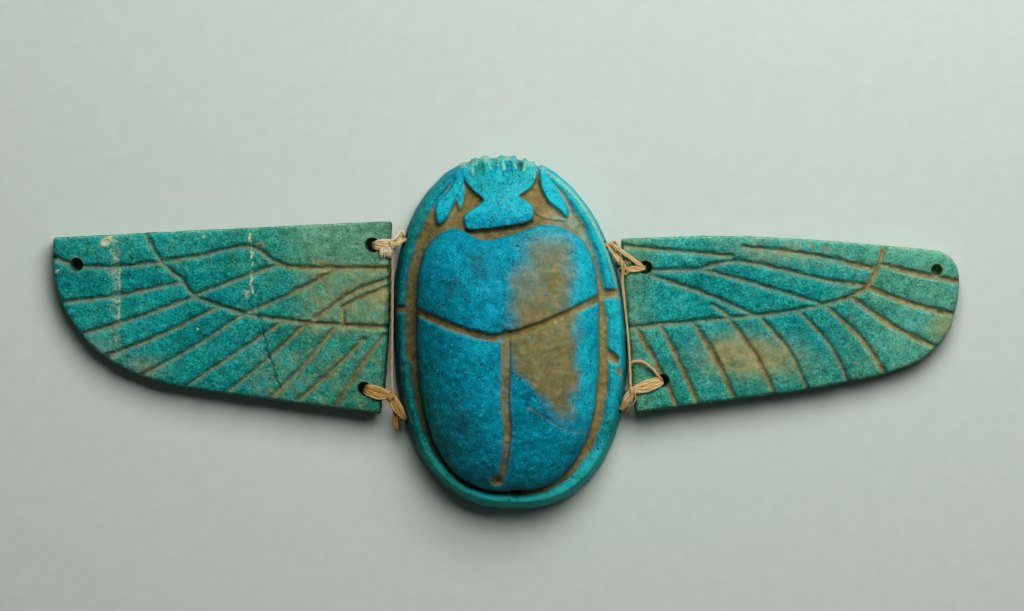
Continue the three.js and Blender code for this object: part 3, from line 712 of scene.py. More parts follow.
def wing_rim(wing, spacing=0.17):
    """The wing's outline as four edges cut into even steps, with the corners rounded.

    The steps go round counter-clockwise; rounding replaces each place with the mean of its
    neighbours, weighted by exp(-(steps / CORNER_SPREAD)^2).
    """
    south, east, north, west = (bend(wing[edge], 10) for edge in ("south", "east", "north", "west"))
    edges = [south, east, north[::-1], west[::-1]]
    lengths = [np.linalg.norm(np.diff(edge, axis=0), axis=1).sum() for edge in edges]
    columns = int(max(lengths[0], lengths[2]) / spacing)
    rows = int(max(lengths[1], lengths[3]) / spacing)
    counts = [columns, rows, columns, rows]
    loop = np.concatenate([evenly(edge, n + 1)[:-1] for edge, n in zip(edges, counts)])
    weights = np.exp(-((np.arange(-8, 9) / CORNER_SPREAD) ** 2))
    rounded = sum(w * np.roll(loop, k, axis=0) for w, k in zip(weights / weights.sum(), range(-8, 9)))
    return rounded, columns, rows


def drawn_in(loop, inset):
    """A closed counter-clockwise line moved inwards, along its own normals."""
    way = np.roll(loop, -2, axis=0) - np.roll(loop, 2, axis=0)
    normal = np.stack([-way[:, 1], way[:, 0]], -1) / np.linalg.norm(way, axis=1)[:, None]
    return loop + normal * np.reshape(inset, (-1, 1))


def filled(loop, columns, rows):
    """A grid that fills a closed line of four edges.

    Each place is the blend of the two edges across, plus the blend of the two edges along, less
    the blend of the four corners.
    """
    south = loop[: columns + 1]
    east = loop[columns : columns + rows + 1]
    north = loop[columns + rows : 2 * columns + rows + 1][::-1]
    west = np.vstack([loop[2 * columns + rows :], loop[:1]])[::-1]
    u = np.linspace(0, 1, columns + 1)[None, :, None]
    v = np.linspace(0, 1, rows + 1)[:, None, None]
    corners = (1 - v) * ((1 - u) * south[0] + u * south[-1]) + v * ((1 - u) * north[0] + u * north[-1])
    return (1 - v) * south + v * north + (1 - u) * west[:, None] + u * east[:, None] - corners


def mend_crack(x, y):
    """Distance to the left wing's mended break, and the share of the way down it."""
    gap, _, _, along = nearest(x + 0.12 * ripple(x, y, 1.6, 40), y, bend(MEND))
    return gap, along


def wing_height(x, y, wing, rim):
    """Height of a wing's upper side: flat, rounded off at the rim, uneven and cut by its lines."""
    seed = wing["seed"]
    edge = nearest(x, y, rim)[0]
    deepest, _, reach = wing_cuts(x, y, wing)
    round_width = 0.75 + 0.15 * ripple(x, y, 3, seed + 1)
    rounding = (WING_THICKNESS - TOP_EDGE) * (1 - np.clip((edge - TOP_INSET) / round_width, 0, 1)) ** 2
    height = WING_THICKNESS - rounding - 0.52 * deepest - 0.12 * np.exp(-((reach / 1.1) ** 2))
    height += 0.045 * ripple(x, y, 7, seed + 2) + 0.03 * ripple(x, y, 2.2, seed + 3)
    height += 0.018 * ripple(x, y, 0.9, seed + 4) - 0.05
    if wing is LEFT_WING:
        crack, along = mend_crack(x, y)
        height -= (0.1 + 0.2 * soft((along - 0.5) * 6)) * soft(1.2 - crack / 0.3)
        height -= 0.28 * np.clip(1.6 * spot(x, y, -67.6, 15.2, 0.5, 0.35, 40), 0, 1)
    return height - spots(x, y, *wing["chips"])


def groove_masks(x, y, z, wing, amount):
    """Dirt in the keels and on the gentler walls, painted shade on the steep walls and in the dirty
    holes, and pale low lips, partly worn and partly painted highlight."""
    _, above, reach = wing_cuts(x, y, wing)
    broken = 0.75 + 0.25 * np.clip(0.5 + 0.5 * ripple(x, y, 2.2, wing["seed"] + 8), 0, 1)
    dirt = amount * broken * soft(1 - reach / (0.82 - 0.22 * above)) ** 0.8
    # painted shade on the steep wall of each cut, on the side towards the light, where the wall faces away
    # from it
    dark = 0.4 * soft(1 - np.abs(reach - 0.35) / 0.9) * soft(above * 1.5 + 0.25)
    # pale low lips on the gentle side of each cut: worn glaze, and a painted highlight where that wall faces
    # the light
    worn_and_lit_lip = band(reach, 0.5, 0.9, 0.5) * soft(-above * 2) * broken
    for hole_x, hole_y, radius, _ in wing["holes"]:
        away = np.hypot(x - hole_x, y - hole_y)
        inside = (away < radius + 0.2) & (z < TOP_EDGE - 0.25)
        lit_tip_hole = hole_x > 60  # the right tip hole gets pale walls and little dirt, as painted light coming through it; the others are dirty, with painted shade inside
        dirt = np.where(inside, 0.25 if lit_tip_hole else 0.9, dirt)
        dark = np.where(inside, 0.0 if lit_tip_hole else 0.45, dark)
        worn_and_lit_lip = np.where(inside & lit_tip_hole, 6.0, worn_and_lit_lip)
        dirt = most(dirt, 0.45 * soft(1.6 - away / (radius + 0.25)) * broken)
    return dirt, dark, worn_and_lit_lip


def left_wing_masks(x, y, z, edge):
    """The left wing's masks: pale old cracks near the tip, the mended break, the browner root, and
    painted shade on the root's edge and wall.
    """
    dirt, dark, worn_and_lit_lip = groove_masks(x, y, z, LEFT_WING, 0.56 + 0.2 * up(x, -46, 14))
    top = up(z, TOP_EDGE - 0.9, 0.5)
    wander, fine = ripple(x, y, 3, 41), ripple(x, y, 1.1, 42)
    crack, along = mend_crack(x, y)
    mend_line = soft(1.4 - crack / (0.22 + 0.05 * wander))
    tip_cracks = stroke(
        x, y, 0.28, 1, bend([(-67.2, 14.6), (-66.3, 12.8), (-65.4, 11.4), (-65.2, 6), (-65.4, 2)]),
    )
    tip_band = band(x + 0.2 * wander, -66.9, -64.9, 1.8) * up(y, -7, 3) * (0.8 + 0.2 * soft(y / 8))
    chip = np.clip(spots(x, y, (1.6, -67.6, 15.3, 1, 0.6, 40), (1, -76.1, 10.1, 0.9, 0.25, 35)), 0, 1)
    white = spots(x, y, (1, -35.4, 1.8, 0.35, 0.4), (0.8, -52, 0.4, 0.3), (0.8, -51, 16, 0.35))
    tan = spots(x, y, (0.55, -43.6, 6.4, 0.9, 1.1), (0.33, -42.6, 9.5, 0.7, 1.4))
    # the band along the rim, stronger at the north edge, is worn glaze and a painted highlight on the lit
    # edge
    pale = most(
        0.12 * worn_and_lit_lip + chip + white + 0.42 * tip_cracks * (0.7 + 0.3 * fine) + 0.42 * tip_band,
        soft(1 - edge / 0.7) * (0.25 + 0.3 * up(y, 8, 6)),
    )
    pale = pale + mend_line * soft((0.55 - along) * 8) * np.clip(0.66 + 0.3 * fine, 0, 1) + tan
    root = up(x, -37, 6) * up(y, -2, 3) * down(y, 14.5, 4)
    stain = most(
        0.5 * root * (0.85 + 0.15 * wander) + 0.6 * spot(x, y, -20.9, 6.2, 1.4),
        0.22 * up(x, -40, 8) * up(y, 9, 4),
        spots(x, y, (0.4, -70, -3.5, 4, 2.5), (0.5, -61, -6, 3, 1.6)),
        0.2 * up(x, -46, 6) * down(y, -1, 4) * (0.6 + 0.4 * wander),
    )
    rust = spots(
        x, y, (1, -41.4, 14.6, 0.7, 0.45), (0.6, -31, 11.6, 1.6, 0.7), (0.5, -45.8, 17, 0.5),
        (0.7, -39.7, -10.4, 0.8, 1),
        (0.35, -29, -6.5, 1.4, 2.4, -35),
    )
    dark = dark + 0.9 * mend_line * soft((along - 0.5) * 8) + 0.8 * spot(x, y, -76.3, 12.7, 0.7, 0.5)
    # painted shade on the root's edge and wall, in the gap beside the beetle
    dark = dark + up(x, -24, 2) * (0.65 * soft(1.5 - edge / 0.5) + 1 - top)
    green = 0.22 + 0.5 * up(x, -52, 25) + 0.2 * up(y, 8, 5) + 0.3 * (1 - top)
    # painted light and shade: the tone brighter towards the north edge and deeper towards the south
    painted_lighting = 0.5 + 0.1 * up(y, 10, 6) - 0.08 * up(-y, 2, 8)
    return most(dirt, rust) * top, stain, pale * top, dark, green, painted_lighting


def right_wing_masks(x, y, z, edge):
    """The right wing's masks: a tan cloud over the feathers, rusty spots along the top, a brown tip,
    and painted shade on the root's edge.
    """
    tip, top = up(x, 52, 10), up(z, TOP_EDGE - 0.9, 0.5)
    amount = 0.58 + 0.34 * most(tip, down(x, 48, 8) * down(y, 2, 3))
    dirt, dark, worn_and_lit_lip = groove_masks(x, y, z, RIGHT_WING, amount)
    wander = ripple(x, y, 3, 71)
    cloud = spots(x, y, (1.3, 41.5, -4.2, 7.2, 3.0, -4), (0.78, 37.8, -3.8, 3, 2.4))
    stain = most(
        np.clip(cloud, 0, 1) * (0.9 + 0.1 * wander),
        0.5 * spot(x, y, 47, 13.6, 9, 2.2, -4) * (0.8 + 0.35 * wander),
        0.7 * spot(x, y, 74.5, 0.6, 3, 3.4, 55), 0.12 * up(x, 50, 20) + 0.2 * down(x, 27, 7),
    )
    rust = spots(
        x, y, (1, 61.9, 9.6, 0.35, 0.9, -20), (0.7, 59.3, -5.4, 0.5, 0.3), (0.5, 58.5, 2.3, 0.5),
        (0.6, 54, 14, 0.9, 0.4), (0.6, 51.6, 14.4, 0.7, 0.4), (0.4, 44, 12, 0.7),
    )
    dark = dark + spots(x, y, (1, 44.2, 5.7, 0.35), (1, 23.5, -12.3, 0.45, 0.35), (0.3, 55, -6.5, 6, 3))
    # painted shade on the root's edge, in the gap beside the beetle
    dark = dark + 0.4 * down(x, 25, 2) * soft(1.4 - edge / 0.4)
    green = 0.25 + 0.35 * down(x, 27, 6) + 0.4 * up(x, 50, 14) + 0.2 * up(y, 10, 4) + 0.3 * (1 - top)
    green = green + 0.35 * up(-y, 2, 5) * down(x, 64, 10)
    # painted light: the tone brighter towards the north edge and at the tip
    painted_lighting = 0.55 + 0.15 * up(y, 9, 6) + 0.12 * tip
    # the band along the rim, stronger at the north edge, is worn glaze and a painted highlight on the lit
    # edge
    pale = most((0.1 + 0.4 * tip) * worn_and_lit_lip, soft(1 - edge / 0.8) * (0.25 + 0.35 * up(y, 6, 6))) * top
    return most(dirt, rust) * top, stain, pale, dark, green, painted_lighting


def make_wing(name, wing, masks, side):
    """A wing: a grid that fills its rounded outline, raised to the carved height, with rounded walls
    below and holes, tilted about its tip so that its root lifts off the floor."""
    rim, columns, rows = wing_rim(wing)
    coarse_rim = np.vstack([rim[::6], rim[:1]])
    x, y = np.moveaxis(filled(drawn_in(rim, TOP_INSET), columns, rows), -1, 0)
    height = wing_height(x, y, wing, coarse_rim)
    edge_height = height.ravel()[loop_round(columns + 1, rows + 1)]
    root = down(np.abs(rim[:, 0]), ROOT_X, 1.2) * down(np.abs(rim[:, 1]), 12, 3)
    rings = []
    for inset, z in WING_WALL:
        worn = inset + 0.035 * ripple(rim[:, 0] + z, rim[:, 1], 3.2, wing["seed"] + 6) * (z > 0)
        worn = worn - ROOT_SWELL * root * math.exp(-((z - 2) / 1.4) ** 2)
        rings.append(np.column_stack([drawn_in(rim, worn), z * edge_height / TOP_EDGE]))
    plate = closed_block(name, np.dstack([x, y, height]), rings)
    pegs = []
    for hole_x, hole_y, radius, waist in wing["holes"]:
        profile = [
            (-1, radius * waist), (1.2, radius * waist), (3.7, radius), (4.4, radius + 0.1),
            (5.2, radius + 0.35),
        ]
        pegs.append(((hole_x, hole_y, 0), (0, 0, 1), profile))
    cut(plate, turned_pegs("wing_holes", pegs))
    dress(plate, lambda px, py, pz: masks(px, py, pz, nearest(px, py, coarse_rim)[0]))
    tilt_wing(plate, side)
    return plate


def tilt_wing(plate, side):
    """Turns every vertex of a wing about its tip, leaving the object at the origin."""
    turn = side * math.atan(ROOT_LIFT / LIFT_REACH)
    turned = np.eye(3)
    turned[0, 0], turned[0, 2] = math.cos(turn), math.sin(turn)
    turned[2, 0], turned[2, 2] = -math.sin(turn), math.cos(turn)
    tip = np.array((side * WING_TIP_X * MM, 0, 0))
    places = np.zeros(len(plate.data.vertices) * 3)
    plate.data.vertices.foreach_get("co", places)
    moved = places.reshape(-1, 3) @ turned.T + (tip - turned @ tip)
    plate.data.vertices.foreach_set("co", moved.ravel())
    plate.data.update()


def wing_top(x):
    """Height of a wing's upper side over the floor, at a distance x from the middle."""
    return WING_THICKNESS + (WING_TIP_X - abs(x)) * ROOT_LIFT / LIFT_REACH


# ---- the thread ----
THREAD = 0.24  # radius of one thread of two plies
HAIR = (0.025, 0.05)  # radius of a loose fibre
TURN_PITCH = 4.2  # length in which the plies go round once
# side is -1 at the left wing and 1 at the right; hole is the wing's hole, knot the place over the
# wing's root where the turns are tied, and mouth_y where the hole in the beetle's flank opens
LASHINGS = [
    {"side": -1, "hole": LEFT_WING["holes"][1], "knot": (-19.3, 15), "mouth_y": 15.6},
    {"side": -1, "hole": LEFT_WING["holes"][2], "knot": (-19.5, -10.9), "mouth_y": -14.6},
    {"side": 1, "hole": RIGHT_WING["holes"][1], "knot": (20.4, 10.5), "mouth_y": 14.6},
    {"side": 1, "hole": RIGHT_WING["holes"][2], "knot": (21.2, -10.1), "mouth_y": -13},
]


class Bundle:
    """Strands of one lashing, gathered into one mesh."""

    def __init__(self):
        self.places, self.faces, self.count = [], [], 0
        self.layers = {"tone": [], "lay": [], "faded": []}

    def strand(self, points, radius, tone, fray=(0.0, 0.0), phase=0.0, sides=12, spacing=0.12, faded=0.0):
        """A twisted thread along a smooth line through the points.

        Round each station of the line stands a ring of radius r (1 + 0.07 cos(2 (turn - twist))),
        twist growing evenly along the way, and r thinning towards the ends by fray.
        """
        line = bend(points, 10)
        length = np.linalg.norm(np.diff(line, axis=0), axis=1).sum()
        stations = max(6, int(length / spacing))
        line = evenly(line, stations)
        way = np.gradient(line, axis=0)
        way /= np.linalg.norm(way, axis=1)[:, None]
        flat = np.linalg.svd(line - line.mean(0))[2][-1]
        side = flat - (way @ flat)[:, None] * way
        side /= np.linalg.norm(side, axis=1)[:, None]
        up_way = np.cross(way, side)
        turn = np.linspace(0, 2 * math.pi, sides, endpoint=False)[None, :, None]
        along = np.linspace(0, length, stations)[:, None]
        lay = turn[..., 0] - 2 * math.pi * along / TURN_PITCH + phase
        share = along / length
        thin = 1 - fray[0] * (1 - soft(share * 6)) - fray[1] * (1 - soft((1 - share) * 6))
        ring = radius * thin * (1 + 0.07 * np.cos(2 * lay))
        around = np.cos(turn) * side[:, None] + np.sin(turn) * up_way[:, None]
        places = line[:, None] + ring[..., None] * around
        numbers = self.count + np.arange(stations * sides).reshape(stations, sides)
        self.faces += tube_faces(numbers)
        self.places.append(places.reshape(-1, 3))
        for name, value in (("tone", tone), ("lay", lay), ("faded", faded)):
            self.layers[name].append(np.broadcast_to(value, (stations, sides)).ravel())
        self.count += stations * sides

    def made(self, name):
        """The finished mesh object, with its strands' tone, fading and lay of the plies on the vertices."""
        piece = new_piece(name, np.concatenate(self.places), self.faces)
        for layer, values in self.layers.items():
            store(piece.data, layer, np.concatenate(values))
        return piece


def lash(bundle, lashing, offsets, tones, random):
    """The turns of one lashing: each thread climbs out of the wing's hole, lies over the root, passes
    the knot and goes into the hole in the beetle's flank, and two more pass under the root. offsets
    set the threads side by side. Gives the height of the wing's upper side at the hole."""
    hole, knot = np.array(lashing["hole"][:2]), np.array(lashing["knot"])
    mouth, inward = (place[:2] for place in side_hole(lashing["side"], lashing["mouth_y"]))
    span, out_span = np.linalg.norm(knot - hole), np.linalg.norm(mouth - knot)
    way, out_way = (knot - hole) / span, (mouth - knot) / out_span
    across, out_across = np.array((-way[1], way[0])), np.array((-out_way[1], out_way[0]))
    top = wing_top(hole[0])
    lying = top + THREAD + 0.14

    def wing(reach, shift, z):
        return (*(hole + way * reach + across * shift), z)

    def flank(reach, shift, z):
        return (*(mouth + inward * reach + out_across * shift), z)

    def between(shift, z):
        return (*((knot + mouth) / 2 + out_across * shift), z)

    for i, (offset, tone) in enumerate(zip(offsets, tones)):
        w = random.uniform(-0.08, 0.08, 8)  # how far each place wanders
        points = [
            wing(0.1, offset * 0.4, top - 3.4), wing(0.1, offset * 0.55 + w[0], top - 1.2),
            wing(0.45, offset * 0.7 + w[1], top - 0.1), wing(1.15, offset * 0.9, lying),
            wing(span * 0.5, offset + w[3], lying + 0.06 + w[2]),
            wing(span * 0.82, offset * 0.75 + w[4], lying + 0.02),
            (*(knot + out_across * offset * 0.5), lying), between(offset * 0.7 + w[5], 5.9 + w[6]),
            flank(0.15, offset * 0.25, 4.8), flank(0.9, offset * 0.25, 4.4 + offset * 0.2),
            flank(2.6, offset * 0.25, 4.2), flank(3.2, 0, 2.4),
            (*(mouth + inward * 3.2 + 0.15 * offset), 0.9),
        ]
        bundle.strand(points, THREAD * random.uniform(0.88, 1.08), tone, phase=i * 1.3)
    for offset in (-0.35, 0.3):
        points = [
            wing(0, offset * 0.4, 3.9), wing(0, offset, 2.0), wing(0.5, offset, 1.05),
            wing(1.4, offset, 0.72), wing(span, offset, 0.7), between(offset, 1.3),
            flank(-0.8, offset, 3.0), flank(0.4, offset, 3.75), flank(2.2, 0, 3.9),
        ]
        bundle.strand(points, THREAD, 0.35, phase=offset)
    return top


def wrap(bundle, centre, axis, radius, turns, tone, length=0.5):
    """A few turns of thread wound round a bundle: a helix about the axis."""
    axis = np.array(axis, float) / np.linalg.norm(axis)
    side = np.cross(axis, (0, 0, 1))
    side /= np.linalg.norm(side)
    across = np.cross(side, axis)
    t = np.linspace(0, 1, int(9 * turns))[:, None]
    angle = 2 * math.pi * turns * t
    points = np.array(centre) + axis * length * (t - 0.5)
    points = points + radius * (np.cos(angle) * side + np.sin(angle) * across)
    bundle.strand(points, THREAD * 0.9, tone, fray=(0.4, 0.4))


def fuzz(bundle, centre, spread, reach, count, random, tone, low_z):
    """Loose fibres: thin curved hairs that start near the centre and lie out at random."""
    for _ in range(count):
        start = np.array(centre) + random.normal(0, 1, 3) * spread
        aim = random.normal(0, 1, 3) * (1, 1, 0.35)
        aim *= random.uniform(0.5, 1) * reach / np.linalg.norm(aim)
        curl = np.cross(aim, random.normal(0, 1, 3)) * 0.35
        points = np.array([start, start + aim * 0.5 + curl, start + aim])
        points[:, 2] = np.maximum(points[:, 2], low_z)
        bundle.strand(points, random.uniform(*HAIR), tone, fray=(0.2, 0.7), sides=5, spacing=0.3)


def left_thread():
    """The thread of the left wing: two lashings, the run between them, a cut tuft and a loose end."""
    bundle, random = Bundle(), np.random.default_rng(7)
    top = lash(bundle, LASHINGS[0], [-0.95, -0.55, -0.15, 0.25, 0.65], [0.5, 0.72, 0.62, 0.78, 0.88], random)
    lash(
        bundle, LASHINGS[1], [-0.95, -0.55, -0.15, 0.2, 0.55, 0.9], [0.45, 0.2, 0.32, 0.15, 0.3, 0.5], random,
    )
    wrap(bundle, (-19.2, 14.85, top + 0.3), (1, 0.25, 0), 0.62, 1.6, 0.75)
    wrap(bundle, (-19.4, -11.0, top + 0.22), (1, -0.45, 0), 0.72, 1.8, 0.3)
    run = [
        (-19.5, 14.9, top + 0.9), (-19.15, 13.9, top + 0.7), (-19.15, 12, 6.2), (-19.2, 6, 5.9),
        (-19.25, 0, 5.85),
        (-19.3, -7, 6.0), (-19.15, -10, top + 0.85), (-18.9, -11.3, top + 0.6), (-18.8, -12.1, 5.4),
    ]
    bundle.strand(run, THREAD * 1.05, 0.55, fray=(0.3, 0.3), faded=0.75)
    curl = [
        (-19.6, 15.1, top + 0.75), (-18.7, 15.7, 6.7), (-18.1, 16.6, 6.2), (-17.6, 16.9, 5.9),
        (-17.25, 16.4, 5.6),
        (-17.5, 15.9, 5.0),
    ]
    bundle.strand(curl, THREAD * 1.1, 0.85, fray=(0.3, 0.4))
    for shift in (-0.14, 0.12):
        end = [(-19.0 + shift, -11.4, 5.9), (-18.75 + shift, -12.6, 5.3)]
        end += [(-18.75 + 1.3 * shift, -14.4, 4.6), (-18.65 + 1.8 * shift, -16.5, 4.0)]
        bundle.strand(end, THREAD * 0.8, 0.25, fray=(0.2, 0.35))
    for _ in range(26):
        lean, lift, back, drop = random.uniform((-1, 0, 0, 0), 1)
        foot = np.array((-20.2 + 0.7 * lean, 14.3, top + 0.5 + 0.25 * lift))
        end = np.array((-20.35 + lean, 12.3 + 0.6 * back, top + 0.15 + 0.35 * drop))
        middle = (foot + end) / 2 + (0.1 * lean, 0, 0.25)
        tone = 0.78 + 0.15 * random.uniform()
        bundle.strand([foot, middle, end], 0.13, tone, fray=(0.1, 0.6), sides=7, spacing=0.2)
    fuzz(bundle, (-19.8, 14.3, top + 0.5), 0.4, 1.2, 30, random, 0.9, top + 0.1)
    fuzz(bundle, (-19.7, -11, top + 0.5), 0.45, 1.0, 30, random, 0.35, top + 0.1)
    fuzz(bundle, (-18.7, -16.0, 4.1), 0.15, 0.7, 14, random, 0.4, 3.4)
    return bundle.made("left_thread_twisted")


def right_thread():
    """The thread of the right wing: two lashings, the doubled run between them and a standing loop."""
    bundle, random = Bundle(), np.random.default_rng(9)
    top = lash(bundle, LASHINGS[2], [-0.35, 0.0, 0.35], [0.5, 0.6, 0.62], random)
    lash(bundle, LASHINGS[3], [-0.8, -0.4, 0.0, 0.4, 0.8], [0.66, 0.74, 0.55, 0.7, 0.62], random)
    for shift in (0.0, 0.36):
        high = [
            (23.2, 11.0, top - 1.2), (22.7, 11.4 - shift, top + 0.3), (20.8, 12.8 - shift, top + 0.75),
            (18.7, 14.3 - shift, 6.4), (17.7, 14.9 - 0.6 * shift, 5.2), (16.8, 14.6, 4.5),
        ]
        bundle.strand(high, THREAD * 0.95, 0.68 - 0.3 * shift, phase=shift)
    tie = [
        (19.3, 12.5, 6.3), (19.7, 11.6, top + 0.75), (20.25, 10.6, top + 0.8), (20.55, 10.05, top + 0.5),
        (20.0, 9.7, top + 0.35), (19.7, 10.6, top + 0.7), (19.5, 11.9, 6.5),
    ]
    run = [
        (19.35, 12.1, 6.6), (19.65, 10.6, top + 0.95), (19.6, 9.2, top + 0.55), (19.65, 7.6, 6.1),
        (20.0, 5, 5.95),
        (20.45, 1, 5.9), (20.8, -3, 5.95), (21.0, -7.0, 6.3), (21.1, -9.3, top + 0.9),
        (21.65, -10.3, top + 0.85),
        (21.85, -11.4, top + 0.4), (21.35, -12.4, 5.6), (20.6, -12.7, 5.2),
    ]
    second = [
        (19.9, 11.9, 6.9), (19.95, 10.4, top + 0.9), (19.8, 9.0, top + 0.5), (19.9, 7.4, 6.0),
        (20.15, 4.6, 5.9),
        (20.45, 1.6, 5.85),
    ]
    turn = [
        (20.9, -8.6, top + 0.3), (21.05, -9.4, top + 0.85), (21.3, -10.6, top + 0.8), (21.1, -11.6, 6.3),
        (20.5, -12.1, 5.5),
    ]
    arch = [
        (21.0, -5.9, top + 0.1), (21.35, -5.2, top + 0.5), (22.7, -5.0, top + 0.8), (24.3, -5.9, top + 0.7),
        (25.4, -7.1, top + 0.45), (26.1, -8.0, top - 0.2), (26.3, -8.4, top - 1.6),
    ]
    for points, thickness, tone, fray, more in (
        (tie, 0.9, 0.5, (0.3, 0.4), {}), (run, 0.82, 0.62, (0.3, 0.3), {"faded": 0.15}),
        (second, 0.6, 0.5, (0.3, 0.8), {"phase": 1}), (turn, 0.9, 0.68, (0.4, 0.4), {}),
        (arch, 1.1, 0.55, (0.3, 0), {}),
    ):
        bundle.strand(points, THREAD * thickness, tone, fray=fray, **more)
    fuzz(bundle, (20.1, 11, top + 0.5), 0.5, 1.1, 24, random, 0.55, top + 0.1)
    fuzz(bundle, (21.4, -10.4, top + 0.5), 0.6, 1.1, 26, random, 0.55, top + 0.1)
    return bundle.made("right_thread_twisted")


# ---- materials ----


class Finish:
    """A procedural material, built node by node."""

    def __init__(self, name):
        self.material = bpy.data.materials.new(name)
        self.material.use_nodes = True
        self.tree = self.material.node_tree
        self.tree.nodes.clear()
        self.place = self.node("ShaderNodeTexCoord").outputs["Object"]

    def node(self, kind, inputs=(), **settings):
        """A node with its settings and inputs, each input a value or another node's socket."""
        made = self.tree.nodes.new(kind)
        for key, value in settings.items():
            setattr(made, key, value)
        for key, value in dict(inputs).items():
            if isinstance(value, bpy.types.NodeSocket):
                self.tree.links.new(value, made.inputs[key])
            else:
                made.inputs[key].default_value = value
        return made

    def noise(self, size, detail=3.0, roughness=0.55, offset=0.0):
        """Cloudy noise with clouds of about size millimetres, taken from another place for each offset."""
        shift = {"Vector": self.place, "Location": (offset, offset * 0.7, -offset)}
        place = self.node("ShaderNodeMapping", shift).outputs[0]
        inputs = {"Vector": place, "Scale": 1 / (size * MM), "Detail": detail, "Roughness": roughness}
        return self.node("ShaderNodeTexNoise", inputs).outputs["Fac"]

    def layer(self, name):
        """A mask stored on the piece's vertices."""
        return self.node("ShaderNodeAttribute", attribute_name=name).outputs["Fac"]

    def math(self, kind, a, b=0.0, c=0.0):
        """One step of arithmetic."""
        return self.node("ShaderNodeMath", {0: a, 1: b, 2: c}, operation=kind).outputs[0]

    def times(self, a, b):
        """The product of two values."""
        return self.math("MULTIPLY", a, b)

    def sway(self, base, value, gain):
        """The base, moved up where value is above a half and down where it is below, by gain at most."""
        return self.math("MULTIPLY_ADD", self.math("SUBTRACT", value, 0.5), gain, base)

    def step(self, value, low, high, to=(0.0, 1.0)):
        """A soft step: to[0] below low, to[1] above high."""
        inputs = {"Value": value, "From Min": low, "From Max": high, "To Min": to[0], "To Max": to[1]}
        return self.node("ShaderNodeMapRange", inputs, interpolation_type="SMOOTHSTEP").outputs[0]

    def blend(self, share, first, second):
        """Two colours mixed, the second by share; it may be given as red, green and blue."""
        second = (*second, 1) if isinstance(second, tuple) else second
        inputs = {0: share, 6: first, 7: second}
        return self.node("ShaderNodeMix", inputs, data_type="RGBA", clamp_factor=True).outputs[2]

    def shades(self, value, stops):
        """A run of colours against a value, stops being (place, red, green, blue)."""
        made = self.node("ShaderNodeValToRGB", {"Fac": value})
        ramp = made.color_ramp
        while len(ramp.elements) < len(stops):
            ramp.elements.new(0.5)
        for element, (at, *colour) in zip(ramp.elements, stops):
            element.position, element.color = at, (*colour, 1)
        return made.outputs["Color"]

    def surface(self, colour, roughness, bumps, specular, **extra):
        """Closes the material: bumps are (height, strength, depth in millimetres), laid one on another."""
        normal = {}
        for height, strength, depth in bumps:
            inputs = {"Height": height, "Strength": strength, "Distance": depth * MM, **normal}
            normal = {"Normal": self.node("ShaderNodeBump", inputs).outputs[0]}
        look = {"Base Color": colour, "Roughness": roughness, "Specular IOR Level": specular}
        inputs = {**look, **normal, **extra}
        shader = self.node("ShaderNodeBsdfPrincipled", inputs)
        self.node("ShaderNodeOutputMaterial", {"Surface": shader.outputs[0]})
        return self.material


BEETLE_GLAZE = {
    "blue": [
        (0.2, 0.0004, 0.085, 0.115), (0.42, 0.0006, 0.19, 0.265), (0.58, 0.001, 0.272, 0.38),
        (0.8, 0.012, 0.48, 0.56),
    ],
    "green": [(0.2, 0.001, 0.06, 0.045), (0.5, 0.004, 0.17, 0.14), (0.8, 0.02, 0.38, 0.31)],
    "veil": [(0.3, 0.11, 0.118, 0.042), (0.52, 0.18, 0.165, 0.064), (0.72, 0.30, 0.215, 0.092)],
    "dirt": [(0.2, 0.09, 0.066, 0.02), (0.45, 0.235, 0.18, 0.064), (0.8, 0.48, 0.40, 0.19)],
    "thin_dirt_and_lit_bank": 0.14,  # how much paler the dirt is where it lies thin; this also paints the light on the banks of the cuts and channels
    "pale": (0.36, 0.62, 0.42),
    "fleck": (0.10, 0.60, 0.66),
    "flecks": 0.42,
    "specks": 0.85,
    "grain": 0.58,
    "relief": 0.8,
    "roughness": 0.5,
}
WING_GLAZE = {
    "blue": [
        (0.2, 0.0005, 0.075, 0.07), (0.42, 0.001, 0.18, 0.17), (0.6, 0.003, 0.28, 0.26),
        (0.85, 0.04, 0.50, 0.45),
    ],
    "green": [(0.2, 0.005, 0.085, 0.052), (0.5, 0.02, 0.205, 0.13), (0.8, 0.10, 0.42, 0.28)],
    "veil": [(0.3, 0.19, 0.20, 0.075), (0.7, 0.36, 0.345, 0.15)],
    "dirt": [(0.15, 0.065, 0.042, 0.012), (0.4, 0.125, 0.088, 0.03), (0.8, 0.42, 0.30, 0.11)],
    "thin_dirt_and_lit_bank": 0.5,
    "pale": (0.46, 0.54, 0.33),
    "fleck": (0.10, 0.58, 0.48),
    "flecks": 0.45,
    "specks": 0.6,
    "grain": 0.95,
    "relief": 1.0,
    "roughness": 0.62,
}


